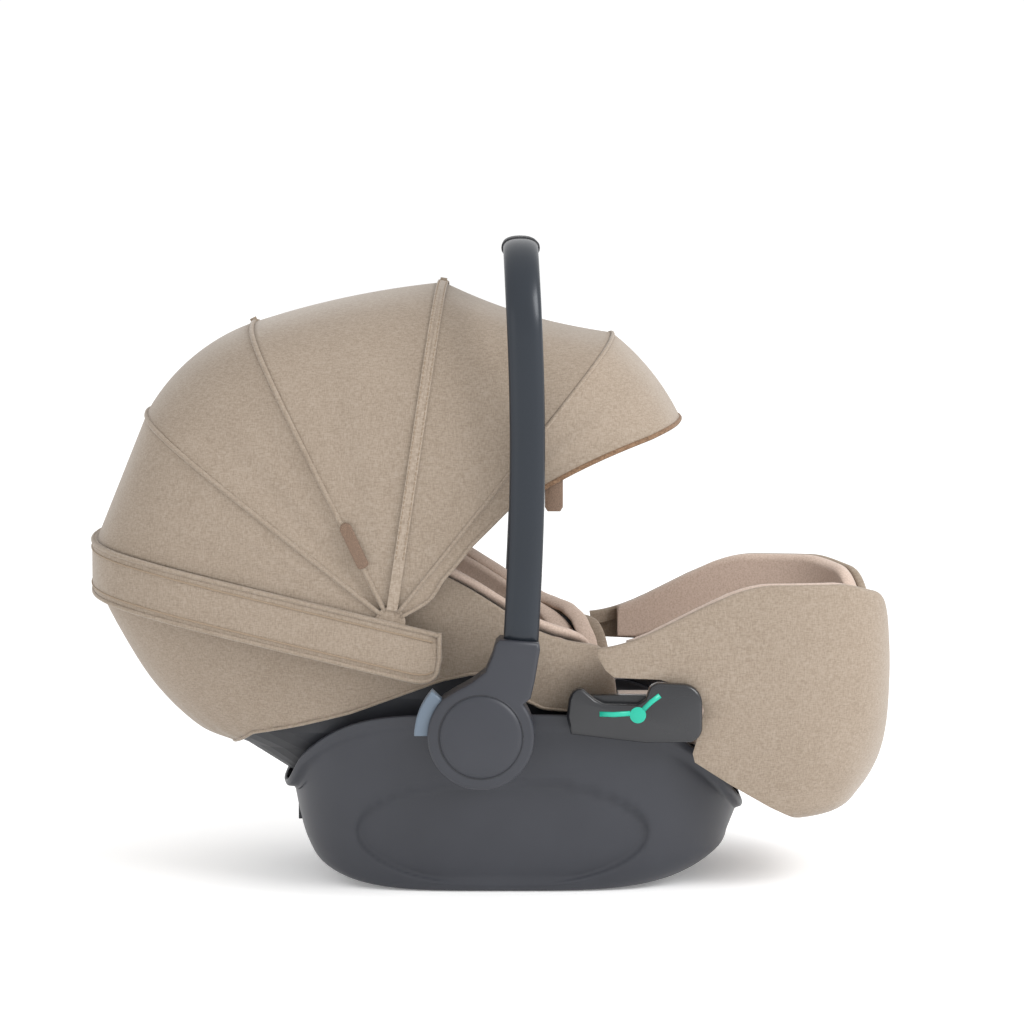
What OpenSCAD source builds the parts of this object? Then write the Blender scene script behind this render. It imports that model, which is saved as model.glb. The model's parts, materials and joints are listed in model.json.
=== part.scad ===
// Infant car seat in its lie-flat position: rocker base, carry handle, reclining
// back section, leg section and a four-bow canopy.
// X runs from the head end to the foot end, Y across, Z up from the floor.
// The handle, the back section and the hubs all turn about one axis along Y, at X = 0.

/* [Overall] */
// Length of the rocker base at its rim
base_len = 437; // [400:1:470]
// Width of the rocker base at its rim
base_w = 320; // [306:1:340]
// Height of the hub axis above the floor
hub_z = 155; // [145:1:165]
// Reach of the handle from the hub axis to the top of its grip
handle_reach = 450; // [446:1:480]
// Width between the middles of the two handle legs
handle_span = 400; // [394:1:430]
// Length of the back section's rim
back_len = 476; // [470:1:482]
// Width of the back section's rim
back_w = 312; // [296:1:314]
// Length of the leg section, from the hinge line to the toe
leg_len = 255; // [228:1:270]
// Width of the leg section
leg_w = 330; // [322:1:340]

/* [Base] */
// Thickness of the base shell
base_wall = 4; // [2.5:0.5:6]
// Height of the base rim above the floor at the hubs
base_top = 166; // [158:1:172]
// Length of the flat that the base rests on
flat_len = 205; // [160:1:230]
// Diameter of each lock bar under the base
lock_bar_d = 12; // [8:1:16]
// Thickness of the rubber pads under the base
pad_t = 2.5; // [1.5:0.5:3]

/* [Handle] */
// Width of the handle tube along X
tube_w = 32; // [26:1:36]
// Thickness of the handle tube
tube_t = 17; // [14:1:18]
// Thickness of the soft grip around the tube
grip_t = 1.6; // [1:0.2:2]
// Length of the soft grip
grip_len = 240; // [140:5:260]
// Radius of each hub
hub_r = 48.5; // [46:0.5:50]
// Radius of the round cap in each hub
cap_r = 38; // [34:0.5:42]
// Depth of each hub along Y
hub_depth = 46; // [40:1:50]
// Diameter of each pivot bolt
bolt_d = 12; // [8:1:16]
// Running clearance of every pivot, measured on the radius
pivot_gap = 0.05; // [0.02:0.01:0.1]
// Travel of each handle button
button_travel = 4; // [2:0.5:5]

/* [Back section] */
// Thickness of the fabric covers
cover_t = 3; // [2:0.5:4]
// Thickness of the plastic seat shells
shell_t = 4; // [3:0.5:5]
// Depth of the lying surface below the hub axis, under the pad
lying_drop = 9; // [3:1:15]
// Thickness of the body pad
body_pad_t = 15; // [10:1:20]
// Thickness of the padded rim
rim_pad_t = 9; // [6:1:12]
// Width of the harness webbing
web_w = 25; // [20:1:38]
// Thickness of the harness webbing
web_t = 1.6; // [1.2:0.1:2.4]

/* [Canopy] */
// Radius of the rear canopy panel about the canopy pivot
canopy_r = 290; // [280:1:291]
// Extra radius of the third bow
third_bow_rise = 10; // [4:1:14]
// Extra radius of the front bow
front_bow_rise = 30; // [24:1:34]
// Corner radius of the bows
bow_corner = 92; // [70:1:110]
// Width of each bow
bow_w = 8; // [6:0.5:10]
// Thickness of each bow
bow_t = 1.8; // [1.2:0.1:2]
// Thickness of the canopy fabric
fabric_t = 1.2; // [0.8:0.1:1.4]
// Depth of the padded band around the head end
band_h = 56; // [46:1:60]

/* [Hidden] */
$fn = 64;

// Colours
anthracite = "#46484f";
handle_blue = "#3c434c";
soft_black = "#1c1d20";
button_grey = "#7b8fa0";
oatmeal = "#b2a390";
pinkish_tan = "#b8a898";
webbing_grey = "#5a5752";
foam_grey = "#4b4c4e";
mark_green = "#00a087";
leatherette = "#87715f";
steel = "#b9bcc0";

// ---- Shared shapes -------------------------------------------------------------

function lerp(a, b, t) = a + (b - a) * t;
function clamp01(t) = min(1, max(0, t));
function ease(a, b, v) = let (t = clamp01((v - a) / (b - a))) t * t * (3 - 2 * t);
function signed_pow(v, p) = sign(v) * pow(abs(v), p);
function flip(list) = [for (i = [len(list) - 1 : -1 : 0]) list[i]];
function unit(v) = v / norm(v);

// Skins a list of rings with equal numbers of points. Each ring turns by the
// right-hand rule about the way the rings advance. From ring number turn on, the
// quads are split the other way, so a wall's two faces are split alike.
module loft(rings, closed = false, turn = 1000) {
    n = len(rings[0]);
    m = len(rings);
    last = closed ? m - 1 : m - 2;
    sides = [for (k = [0 : last], i = [0 : n - 1])
        let (j = (i + 1) % n, a = k * n, b = ((k + 1) % m) * n)
        each k < turn ? [[b + j, a + j, a + i], [b + i, b + j, a + i]]
                      : [[b + i, a + j, a + i], [b + i, b + j, a + j]]];
    caps = closed ? [] : [[for (i = [0 : n - 1]) i], [for (i = [n - 1 : -1 : 0]) (m - 1) * n + i]];
    polyhedron([for (r = rings) each r], concat(sides, caps), convexity = 10);
}

// A wall between an outer and an inner list of rings.
module wall(outer, inner, closed = false) {
    loft(concat(outer, flip(inner)), closed, len(outer));
}

// One level ring of a bowl. bowl = [rim x0, rim x1, rim half width, floor x0,
// floor x1, floor half width, floor z]. level = [share of the spread, share of the rise].
function bowl_ring(bowl, rim, level, inset, head_e = 2.6, foot_e = 5, n = 40) =
    let (mid = lerp((bowl[3] + bowl[4]) / 2, (bowl[0] + bowl[1]) / 2, level[0]),
         a = lerp((bowl[4] - bowl[3]) / 2, (bowl[1] - bowl[0]) / 2, level[0]) - inset,
         b = lerp(bowl[5], bowl[2], level[0]) - inset)
    [for (i = [0 : n - 1])
        let (t = 360 * (i + 0.5) / n, e = cos(t) < 0 ? head_e : foot_e,
             x = mid + a * signed_pow(cos(t), 2 / e), y = b * signed_pow(sin(t), 2 / e))
        [x, y, level[1] == 0 ? bowl[6] + inset : lerp(bowl[6] + inset, rim(x, y), level[1])]];

function bowl_rings(bowl, rim, levels, inset, head_e = 2.6, foot_e = 5, n = 40) =
    [for (l = levels) bowl_ring(bowl, rim, l, inset, head_e, foot_e, n)];

// A ring of n points around a path point, across the tangent.
function tube_ring(p, tangent, up, a, b, n) =
    let (t = unit(tangent), e2 = unit(up - t * (up * t)), e1 = cross(e2, t))
    [for (i = [0 : n - 1]) p + e1 * a * cos(360 * i / n) + e2 * b * sin(360 * i / n)];

// Turns a side profile, drawn in X and Z, into a plate from y0 to y1.
module side_plate(y0, y1) {
    rotate([90, 0, 0]) translate([0, 0, -y1]) linear_extrude(y1 - y0) children();
}

module y_rod(x, z, d, y0, y1) {
    translate([x, y0, z]) rotate([-90, 0, 0]) cylinder(d = d, h = y1 - y0);
}

module both_sides() {
    children();
    mirror([0, 1, 0]) children();
}

function arc(c, r, a0, a1, steps) =
    [for (i = [0 : steps]) let (a = lerp(a0, a1, i / steps)) c + r * [cos(a), sin(a)]];

// ---- Base ------------------------------------------------------------------------

base_half_w = base_w / 2;
base_x0 = -189 * base_len / 437;
base_x1 = base_x0 + base_len;
flat_mid = 27;
flat_x0 = flat_mid - flat_len / 2;
flat_x1 = flat_mid + flat_len / 2;
// Rings of the base, from its flat up to its rim: ends along X, half width, then the
// height at the head end, at the sides and at the foot end.
base_rows = [
    [flat_x0, flat_x1, base_half_w - 48, 0, 0, 0],
    [lerp(flat_x0, base_x0, 0.4), lerp(flat_x1, base_x1, 0.3), base_half_w - 29, 8, 0, 5],
    [base_x0 + 35, base_x1 - 47, base_half_w - 19, 18, 3, 14],
    [base_x0 + 22, base_x1 - 21, base_half_w - 12, 37, 24, 31],
    [base_x0 + 15, base_x1 - 14, base_half_w - 7.5, 60, 70, 46],
    [base_x0 + 10, base_x1 - 8, base_half_w - 4, 76, base_top - 38, 60],
    [base_x0 + 8, base_x1 - 6.5, base_half_w - 3, 80, base_top - 16, 62],
    [base_x0, base_x1, base_half_w, 93, base_top, 67]];
head_notch_z = 84;
low_rows = 3;

// One ring of the base wall. The rim is cut down at the head end, under the back section.
function base_ring(k, inset, n = 48) =
    let (r = base_rows[k], mid = (r[0] + r[1]) / 2, half = (r[1] - r[0]) / 2)
    [for (i = [0 : n - 1])
        let (t = 360 * (i + 0.5) / n,
             x = mid + (half - inset) * signed_pow(cos(t), 2 / 3.4),
             y = (r[2] - inset) * signed_pow(sin(t), 2 / 3.4),
             d = max(-1, min(1, (x - mid) / half)),
             side = r[4] + (d < 0 ? (r[3] - r[4]) * pow(-d, 5) : (r[5] - r[4]) * pow(d, 4)),
             low = min(side, head_notch_z - 1.5 * (len(base_rows) - 1 - k)),
             z = x < 0 && k > low_rows + 1 ? lerp(side, low, 1 - ease(72, 108, abs(y))) : side)
        [x, y, z + (k <= low_rows ? inset : 0)]];
function base_rings(inset) = [for (k = [0 : len(base_rows) - 1]) base_ring(k, inset)];

boss_r = 30;
boss_y0 = base_half_w - 13;
boss_y1 = base_half_w + 11;
bar_x = [flat_x0 - 32, flat_x1 + 26];
bar_z = 30;
bar_half_len = 70;
notch_w = 42;
pad_x = [flat_x0 + 22, flat_x1 - 22];
pad_y = 76;
leg_hinge = [125, 170];
lever_w = 80;
lever_h = 22;
lever_z = 52;

module rocker_pad(grow) {
    for (x = pad_x, y = [-pad_y, pad_y])
        translate([x, y, 0]) cylinder(r = 14 + grow, h = pad_t);
}

module base_shell() {
    color(anthracite) difference() {
        wall(base_rings(0), base_rings(base_wall));
        y_rod(0, hub_z, 2 * boss_r, -base_half_w - 10, base_half_w + 10);
        rocker_pad(0);
        for (x = bar_x)
            translate([x - notch_w / 2, -bar_half_len, -1]) cube([notch_w, 2 * bar_half_len, bar_z + 14]);
        translate([base_x0 - 1, -lever_w / 2 - 1, lever_z - 1]) cube([40, lever_w + 2, lever_h + 2]);
    }
}

rib_x = [-50, 40, 100];
module base_ribs() {
    color(anthracite) for (x = rib_x)
        translate([x - 2, -80, base_wall]) cube([4, 160, 20]);
}

module rocker_pads() {
    color(soft_black) rocker_pad(0);
}

module lock_bars() {
    color(steel) for (x = bar_x) {
        y_rod(x, bar_z, lock_bar_d, -bar_half_len, bar_half_len);
        both_sides() y_rod(x, bar_z, lock_bar_d + 8, bar_half_len - 4, bar_half_len);
    }
}

guide_y0 = base_half_w + 0.5;
guide_y1 = guide_y0 + 15;
module guide_outline() {
    polygon(concat([[80, 150], [80, 182]], arc([90, 184], 10, 170, 75, 5),
        [[104, 181], [112, 178], [143, 176], [150, 181]], arc([163, 188], 10, 150, 90, 4),
        arc([184, 183], 15, 90, 10, 6), arc([186, 158], 12, 0, -70, 5), [[150, 146]]));
}

module belt_guides() {
    color(soft_black) both_sides() {
        side_plate(guide_y0, guide_y1) guide_outline();
        side_plate(base_half_w - 12, guide_y0)
            polygon([[84, 172], [84, 186], [196, 186], [196, 172], [150, 169]]);
    }
}

module belt_marks() {
    color(mark_green) both_sides() {
        side_plate(guide_y1, guide_y1 + 0.6)
            polygon([[106, 169.5], [134, 168], [134, 172.5], [108, 174]]);
        side_plate(guide_y1, guide_y1 + 0.6) polygon(arc([143, 170], 7.5, 0, 360 - 15, 23));
    }
}

module pivot_bosses() {
    color(anthracite) both_sides() difference() {
        y_rod(0, hub_z, 2 * boss_r, boss_y0, boss_y1);
        y_rod(0, hub_z, bolt_d, boss_y0 - 1, boss_y1 + 1);
        translate([-9, boss_y0 + 8, hub_z - boss_r - 1]) cube([18, 9, 14]);
    }
}

plate_y0 = 133;
hub_y0 = boss_y1 + 1;
hub_y1 = hub_y0 + hub_depth;
module pivot_bolts() {
    color(steel) both_sides() {
        y_rod(0, hub_z, bolt_d, plate_y0 - 6, hub_y1 - 8);
        y_rod(0, hub_z, bolt_d + 8, plate_y0 - 6, plate_y0 - 1);
    }
}

gear_r = 28;
gear_t = 9;
gear_teeth = 18;
module lock_gears() {
    color(steel) both_sides() difference() {
        union() {
            y_rod(0, hub_z, 2 * gear_r, boss_y1, boss_y1 + gear_t);
            for (i = [0 : gear_teeth - 1])
                translate([0, boss_y1 + gear_t / 2, hub_z]) rotate([0, i * 360 / gear_teeth, 0])
                    translate([gear_r, 0, 0]) cube([5, gear_t, 4], center = true);
        }
        y_rod(0, hub_z, bolt_d, boss_y1 - 1, boss_y1 + gear_t + 1);
    }
}

screw_x = [92, 184];
module base_screws() {
    color(steel) both_sides() for (x = screw_x)
        y_rod(x, 179, 7, base_half_w - 14, base_half_w - 12);
}

// The recline rack is a toothed sector under the back shell; the latch faces it.
rack_r1 = 106;
latch_gap = 0.8;
latch_x = 0;
module recline_latch() {
    color(steel) {
        translate([latch_x - 5, -7, base_wall + 26]) cube([10, 14, 14]);
        translate([latch_x - 4, -22, hub_z - rack_r1 - latch_gap - 5]) cube([8, 44, 5]);
        for (y = [-16, 16]) translate([latch_x, y, base_wall + 26])
            cylinder(d = 5, h = hub_z - rack_r1 - latch_gap - 5 - base_wall - 26);
        translate([-22, -24, base_wall]) cube([44, 48, 3]);
    }
}

module latch_spring() {
    color(steel) for (y = [-16, 16]) translate([latch_x, y, base_wall + 3])
        difference() {
            cylinder(d = 9, h = 23);
            translate([0, 0, -1]) cylinder(d = 6, h = 25);
        }
}

arm_y0 = 133;
arm_y1 = 137;
arm_d = 18;
module leg_pivots() {
    color(steel) both_sides() {
        y_rod(leg_hinge[0], leg_hinge[1], 8, arm_y0 - 1.5, arm_y1 + 7);
        y_rod(leg_hinge[0], leg_hinge[1], 20, arm_y1 + 2, arm_y1 + 7);
        translate([leg_hinge[0] - 9, arm_y1 + 5, 173]) cube([arm_d, base_half_w - 17 - arm_y1, 5]);
    }
}

module release_lever() {
    color(soft_black) {
        translate([base_x0 + 14, -lever_w / 2, lever_z]) cube([8, lever_w, lever_h]);
        translate([base_x0 + 22, -10, lever_z + 6]) cube([31, 20, 8]);
    }
}

// ---- Handle ------------------------------------------------------------------------

grip_z = hub_z + handle_reach - tube_t / 2 - grip_t;
leg_y = handle_span / 2;
tube_x0 = 36;
tube_bow = 6;
tube_corner = 74;
socket_z = hub_z + 84;
function tube_x(z) = tube_x0 + tube_bow * sin(180 * clamp01((z - socket_z) / (grip_z - socket_z)));

// Middle of the handle tube: up one leg, round the corner and across, then down.
tube_path = concat(
    [for (z = [socket_z : (grip_z - tube_corner - socket_z) / 10 : grip_z - tube_corner - 1])
        [tube_x(z), -leg_y, z]],
    [for (a = [180 : -10 : 90])
        let (z = grip_z - tube_corner + tube_corner * sin(a))
        [tube_x(z), -leg_y + tube_corner + tube_corner * cos(a), z]]);
mirrored_path = [for (p = flip(tube_path)) [p[0], -p[1], p[2]]];
whole_path = concat(tube_path, mirrored_path);

function path_tangent(path, i) = path[min(len(path) - 1, i + 1)] - path[max(0, i - 1)];

module handle_tube() {
    color(handle_blue) loft([for (i = [0 : len(whole_path) - 1])
        tube_ring(whole_path[i], i == 0 ? [0, 0, 1] : i == len(whole_path) - 1 ? [0, 0, -1] :
            path_tangent(whole_path, i), [1, 0, 0], tube_t / 2, tube_w / 2, 20)]);
}

module handle_grip() {
    steps = 12;
    half = grip_len / 2;
    function grip_ring(s, extra) = tube_ring([tube_x0, lerp(-half, half, s / steps), grip_z],
        [0, 1, 0], [1, 0, 0], tube_t / 2 + extra, tube_w / 2 + extra * 1.2, 20);
    straight = leg_y - tube_corner;
    color(soft_black) intersection() {
        loft(concat([for (s = [0 : steps]) grip_ring(s, grip_t)],
                    [for (s = [steps : -1 : 0]) grip_ring(s, 0)]), closed = true);
        translate([0, -straight, grip_z - 40]) cube([80, 2 * straight, 80]);
    }
}

cap_depth = 5;
pocket_r = 35;
button_mid = 158;
button_half = 22;
button_r1 = 59.5;
button_y0 = hub_y0 + 14;
button_y1 = hub_y1 - 8;

module hub_body() {
    difference() {
        union() {
            y_rod(0, hub_z, 2 * hub_r, hub_y0, hub_y1);
            side_plate(hub_y0, hub_y1 - 2) polygon(concat(
                [[hub_r, hub_z], [tube_x0 + tube_w / 2 + 2, socket_z], [tube_x0 - tube_w / 2 - 3, socket_z]],
                arc([-24, socket_z + 2], 34, -8, -72, 7), [[-30, hub_z + 37], [0, hub_z]]));
        }
        y_rod(0, hub_z, bolt_d + 2 * pivot_gap, hub_y0 - 1, hub_y1 + 1);
        y_rod(0, hub_z, 2 * (gear_r + 4), hub_y0 - 1, boss_y1 + gear_t + 1);
        y_rod(0, hub_z, 2 * cap_r, hub_y1 - cap_depth, hub_y1 + 1);
        button_pocket();
    }
}

// Room behind the button: its own sector, swept inward by its travel.
module button_pocket() {
    side_plate(button_y0 - 0.4, button_y1 + 0.4) polygon(concat(
        arc([0, hub_z], pocket_r, button_mid - button_half - 4, button_mid + button_half + 4, 10),
        flip(arc([0, hub_z], 70, button_mid - button_half - 4, button_mid + button_half + 4, 10))));
}

module hub_shell_left() { color(anthracite) mirror([0, 1, 0]) hub_body(); }
module hub_shell_right() { color(anthracite) hub_body(); }

module hub_caps() {
    color(anthracite) both_sides() difference() {
        y_rod(0, hub_z, 2 * cap_r - 0.6, hub_y1 - cap_depth, hub_y1 + 1.5);
        y_rod(0, hub_z, bolt_d + 6, hub_y1 - cap_depth - 1, hub_y1 - 3);
    }
}

button_inner = 45;
spring_len = button_inner - button_travel - 0.4 - pocket_r;
module button_body() {
    side_plate(button_y0, button_y1) polygon(concat(
        arc([0, hub_z], button_inner, button_mid - button_half, button_mid + button_half, 10),
        flip(arc([0, hub_z], button_r1, button_mid - button_half, button_mid + button_half, 10))));
}

module handle_button_left() { color(button_grey) mirror([0, 1, 0]) button_body(); }
module handle_button_right() { color(button_grey) button_body(); }

module button_springs() {
    color(steel) both_sides() translate([0, (button_y0 + button_y1) / 2, hub_z])
        rotate([0, 180 - button_mid, 0]) translate([-pocket_r, 0, 0]) rotate([0, -90, 0])
        difference() {
            cylinder(d = 7, h = spring_len);
            translate([0, 0, -1]) cylinder(d = 4.5, h = spring_len + 2);
        }
}

// ---- Back section ---------------------------------------------------------------------

back_x0 = -364;
back_x1 = back_x0 + back_len;
back_half_w = back_w / 2;
back_bowl = [back_x0, back_x1, back_half_w, -150, 60, 90, hub_z - 89];
back_levels = [[0, 0], [0.16, 0.12], [0.38, 0.25], [0.58, 0.33], [0.76, 0.49], [0.9, 0.69], [1, 0.88], [1, 1]];
rim_head = hub_z + 145;
rim_knee = hub_z + 69;
rim_low = hub_z - 5;
back_rim = function (x, y)
    let (side = rim_head - (rim_head - rim_knee) * ease(-70, back_x1 - 8, x),
         dip = ease(30, back_x1 - 14, x) * (1 - ease(0.45, 0.8, abs(y) / back_half_w)))
    lerp(side, rim_low, dip);
lying_z = hub_z - lying_drop;
liner_t = 9;
layer_gap = 0.3;
liner_inset = cover_t + shell_t + layer_gap;
pad_inset = liner_inset + liner_t;
pad_levels = [for (l = back_levels) l[1] < 1 ? l : [1, 0.94]];

// Lifts the lower rings of a bowl to a nearly flat floor.
function raise(rings, z) =
    [for (k = [0 : len(rings) - 1]) [for (p = rings[k]) [p[0], p[1], max(p[2], z + 0.2 * k)]]];
plate_r = 24;
collar_r = 14;

module hub_hole() {
    y_rod(0, hub_z, 2 * collar_r, -back_half_w - 5, back_half_w + 5);
}

module back_shell() {
    color(soft_black) difference() {
        wall(bowl_rings(back_bowl, back_rim, back_levels, cover_t + layer_gap),
             bowl_rings(back_bowl, back_rim, back_levels, cover_t + shell_t));
        hub_hole();
    }
}

module back_liner() {
    color(foam_grey) difference() {
        wall(raise(bowl_rings(back_bowl, back_rim, back_levels, liner_inset), lying_z - liner_t),
             raise(bowl_rings(back_bowl, back_rim, back_levels, pad_inset), lying_z));
        hub_hole();
    }
}

module back_cover() {
    levels = [for (i = [3 : len(back_levels) - 1]) back_levels[i]];
    color(oatmeal) difference() {
        wall(bowl_rings(back_bowl, back_rim, levels, 0),
             bowl_rings(back_bowl, back_rim, levels, cover_t), closed = true);
        hub_hole();
    }
}

module back_pad() {
    color(pinkish_tan) wall(
        raise(bowl_rings(back_bowl, back_rim, pad_levels, pad_inset + layer_gap), lying_z + layer_gap),
        raise(bowl_rings(back_bowl, back_rim, pad_levels, pad_inset + body_pad_t), lying_z + body_pad_t));
}

// A narrower section has a steeper dip at the knees, so its rim pad stands higher.
rim_lift = 6.5 * 156 / back_half_w;
module rim_pad() {
    n = 48;
    rim_points = bowl_ring(back_bowl, back_rim, [1, 1], cover_t + 8, n = n);
    color(pinkish_tan) loft([for (i = [0 : n - 1])
        tube_ring(rim_points[i] + [0, 0, rim_pad_t / 2 + rim_lift], rim_points[(i + 1) % n] - rim_points[(i + n - 1) % n],
            [0, 0, 1], rim_pad_t, rim_pad_t / 2, 8)], closed = true);
}

module recline_plates() {
    color(steel) both_sides() difference() {
        union() {
            y_rod(0, hub_z, 2 * collar_r, plate_y0 - 1, 145);
            y_rod(0, hub_z, 2 * plate_r, 143, 145.5);
        }
        y_rod(0, hub_z, bolt_d + 2 * pivot_gap, plate_y0 - 3, 150);
    }
}

module recline_rack() {
    top_z = back_bowl[6] + cover_t;
    color(steel) side_plate(-12, 12) polygon(concat(
        arc([0, hub_z], rack_r1, 262, 300, 10), [[53, top_z], [-14.7, top_z]]));
}

// ---- Canopy ---------------------------------------------------------------------------

// The rear panel clears the head end of the back section.
head_room = 9;
pivot = [back_x0 + canopy_r - head_room, hub_z + 100];
pin_d = 10;
// Angles of the bows about the canopy pivot, from +X towards +Z
band_a = 167.5;
bow_a = [141.5, 116.5, 81.5, 51.3];
visor_a = 33.2;
bow_gap = 0.2;
nest = fabric_t + bow_t + 0.6;
canopy_w0 = back_half_w + 6;
bow_r = [canopy_r + 2.4, canopy_r + nest + 2.4, canopy_r + 6 + third_bow_rise, canopy_r + 6 + front_bow_rise];

// Outline of a bow or panel in its own radial plane: radius outwards, Y across.
function bow_outline(r0, r, w, t) = concat(
    [[r0, -w]], arc([r - bow_corner, -w + bow_corner], bow_corner, -90, 0, 8),
    arc([r - bow_corner, w - bow_corner], bow_corner, 0, 90, 8), [[r0, w], [r0, w - t]],
    arc([r - bow_corner, w - bow_corner], bow_corner - t, 90, 0, 8),
    arc([r - bow_corner, -w + bow_corner], bow_corner - t, 0, -90, 8), [[r0, -w + t]]);

module panel(r, w, a0, a1, r0 = 18) {
    translate([pivot[0], 0, pivot[1]]) rotate([90, 0, 0])
        rotate_extrude(angle = a1 - a0, start = a0, $fn = 140) polygon(bow_outline(r0, r, w, fabric_t));
}

module bow(i) {
    w = canopy_w0 + nest * i + bow_t + 0.6;
    translate([pivot[0], 0, pivot[1]]) rotate([0, -bow_a[i], 0]) difference() {
        union() {
            translate([0, 0, -bow_w / 2]) linear_extrude(bow_w)
                polygon(bow_outline(0, bow_r[i], w, bow_t));
            both_sides() y_rod(0, 0, 22, w - bow_t, w);
        }
        both_sides() y_rod(0, 0, pin_d + 2 * pivot_gap, w - bow_t - 1, w + 1);
    }
}

module bow_panel(i, front_a) {
    w = canopy_w0 + nest * i + bow_t + 0.6 + fabric_t + bow_gap;
    panel(bow_r[i] + fabric_t + bow_gap, w, front_a + 0.3, bow_a[i] + 1.2);
}

module rib_a() { color(soft_black) bow(0); }
module rib_b() { color(soft_black) bow(1); }
module rib_c() { color(soft_black) bow(2); }
module rib_d() { color(soft_black) bow(3); }
module panel_ab() { color(oatmeal) bow_panel(0, bow_a[1]); }
module panel_bc() { color(oatmeal) bow_panel(1, bow_a[2]); }
module panel_cd() { color(oatmeal) bow_panel(2, bow_a[3]); }
module visor() { color(oatmeal) bow_panel(3, visor_a); }

module canopy_rear() {
    color(oatmeal) panel(canopy_r, canopy_w0, bow_a[0] - 1.2, band_a - 2);
}

band_r = canopy_r - 2;
band_front = -44;
module canopy_band() {
    color(oatmeal) translate([pivot[0], 0, pivot[1]]) rotate([0, -band_a, 0])
        translate([0, 0, -8]) linear_extrude(band_h)
        polygon(bow_outline(band_front, band_r, canopy_w0 - fabric_t - 0.3, 3));
}

module canopy_pivots() {
    outer = canopy_w0 + 4 * nest + 1;
    color(soft_black) both_sides() {
        y_rod(pivot[0], pivot[1], pin_d, canopy_w0 - fabric_t - 0.3, outer);
        y_rod(pivot[0], pivot[1], 24, outer, outer + 3);
    }
}

// The tab hangs inside the visor's front edge, on the near side.
tab_y = canopy_w0 + nest * 3 + bow_t + 0.6 + bow_gap;
module front_tab() {
    color(leatherette) translate([pivot[0], 0, pivot[1]]) rotate([0, -visor_a, 0])
        translate([172, -tab_y, -12]) cube([15, 1.6, 24]);
}

// Zip on the panel between the second and third bows, on the near side
zip_a = 115;
zip_r0 = 52;
zip_y = canopy_w0 + 2 * nest + 0.3;
module zip_slider() {
    color(soft_black) translate([pivot[0], 0, pivot[1]]) rotate([0, -zip_a, 0])
        translate([zip_r0, -zip_y - 2.2, -4]) cube([14, 2, 8]);
}

module zip_pull() {
    color(leatherette) translate([pivot[0], 0, pivot[1]]) rotate([0, -zip_a, 0])
        translate([zip_r0 + 2, -zip_y - 4.4, -5]) cube([46, 2.2, 10]);
}

// ---- Harness and headrest --------------------------------------------------------------

lie_z = lying_z + body_pad_t + 2.5;
strap_y = 42;
strap_pts = [[-107, lie_z + 40], [-98, lie_z + 44], [-60, lie_z + 43], [-24, lie_z + 39], [0, lie_z + 33]];

// A flat strap along a side route, web_t thick.
module strap(pts, y0, width, t) {
    top = [for (p = flip(pts)) p + [0, t]];
    side_plate(y0 - width / 2, y0 + width / 2) polygon(concat(pts, top));
}

module shoulder_straps() {
    color(webbing_grey) both_sides() strap(strap_pts, strap_y, web_w, web_t);
}

module chest_pads() {
    color(pinkish_tan) both_sides() {
        strap([for (i = [1 : 3]) strap_pts[i] + [0, web_t + 0.2]], strap_y, web_w + 22, 6);
        strap([for (i = [1 : 3]) strap_pts[i] - [0, 6.2]], strap_y, web_w + 22, 6);
    }
}

buckle_x = 34;
buckle_z = lie_z + 28;
module buckle_body() {
    color(soft_black) difference() {
        translate([buckle_x - 24, -21, buckle_z - 9]) cube([46, 42, 18]);
        translate([buckle_x - 8, -12, buckle_z - 1]) cube([22, 24, 12]);
        both_sides() translate([buckle_x - 25, 6, buckle_z - 3]) cube([14, 11, 5]);
    }
}

module buckle_button() {
    color("#c0392b") translate([buckle_x - 7.5, -11.5, buckle_z + 5]) cube([21, 23, 6]);
}

module buckle_tongues() {
    color(steel) both_sides() {
        translate([buckle_x - 24, 7, buckle_z - 2.5]) cube([12, 9, 4]);
        translate([buckle_x - 34, 7, buckle_z - 2.5]) cube([9.5, 24, 4]);
        translate([buckle_x - 34, 22, buckle_z - 2.5]) cube([6, 32, 4]);
    }
}

module crotch_strap() {
    color(webbing_grey) side_plate(-14, 14) polygon([[buckle_x + 22, buckle_z - 3],
        [buckle_x + 34, buckle_z - 8], [buckle_x + 38, lie_z + 0.5], [buckle_x + 35, lie_z + 0.5],
        [buckle_x + 31, buckle_z - 10], [buckle_x + 22, buckle_z - 6]]);
}

module crotch_pad() {
    color(pinkish_tan) side_plate(-24, 24) polygon([[buckle_x - 18, buckle_z - 10],
        [buckle_x + 20, buckle_z - 10], [buckle_x + 29, lie_z + 8], [buckle_x + 29, lie_z + 1],
        [buckle_x - 20, lie_z + 1]]);
}

module adjuster_strap() {
    color(webbing_grey) translate([buckle_x + 51, -web_w / 2, lie_z + 0.5]) cube([8, web_w, web_t]);
}

module adjuster_button() {
    color(soft_black) translate([buckle_x + 42, -9, lie_z + 4]) cube([7, 18, 8]);
}

head_x0 = -244;
head_x1 = -112;
head_w = back_half_w - 60;
head_rise = function (x, y) hub_z + 91 + 16 * ease(-200, -300, x);
head_bowl = [head_x0, head_x1, head_w, head_x0 + 28, head_x1 - 14, head_w - 36, lie_z + 9];
head_levels = [[0, 0], [0.5, 0.08], [0.8, 0.35], [1, 0.8], [0.98, 1]];
module headrest_board() {
    color(soft_black) translate([head_x0 + 29, 40 - head_w, lie_z + 3.6]) cube([104, 2 * head_w - 80, 4.4]);
}

module headrest_cushion() {
    inner = [head_x0 + 26, head_x1 - 8, head_w - 30, head_x0 + 46, head_x1 - 26, head_w - 50, lie_z + 22];
    color(pinkish_tan) difference() {
        wall(bowl_rings(head_bowl, head_rise, head_levels, 0, 2.6, 4, 32),
             bowl_rings(inner, head_rise, head_levels, 0, 2.6, 4, 32));
    }
}

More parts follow.
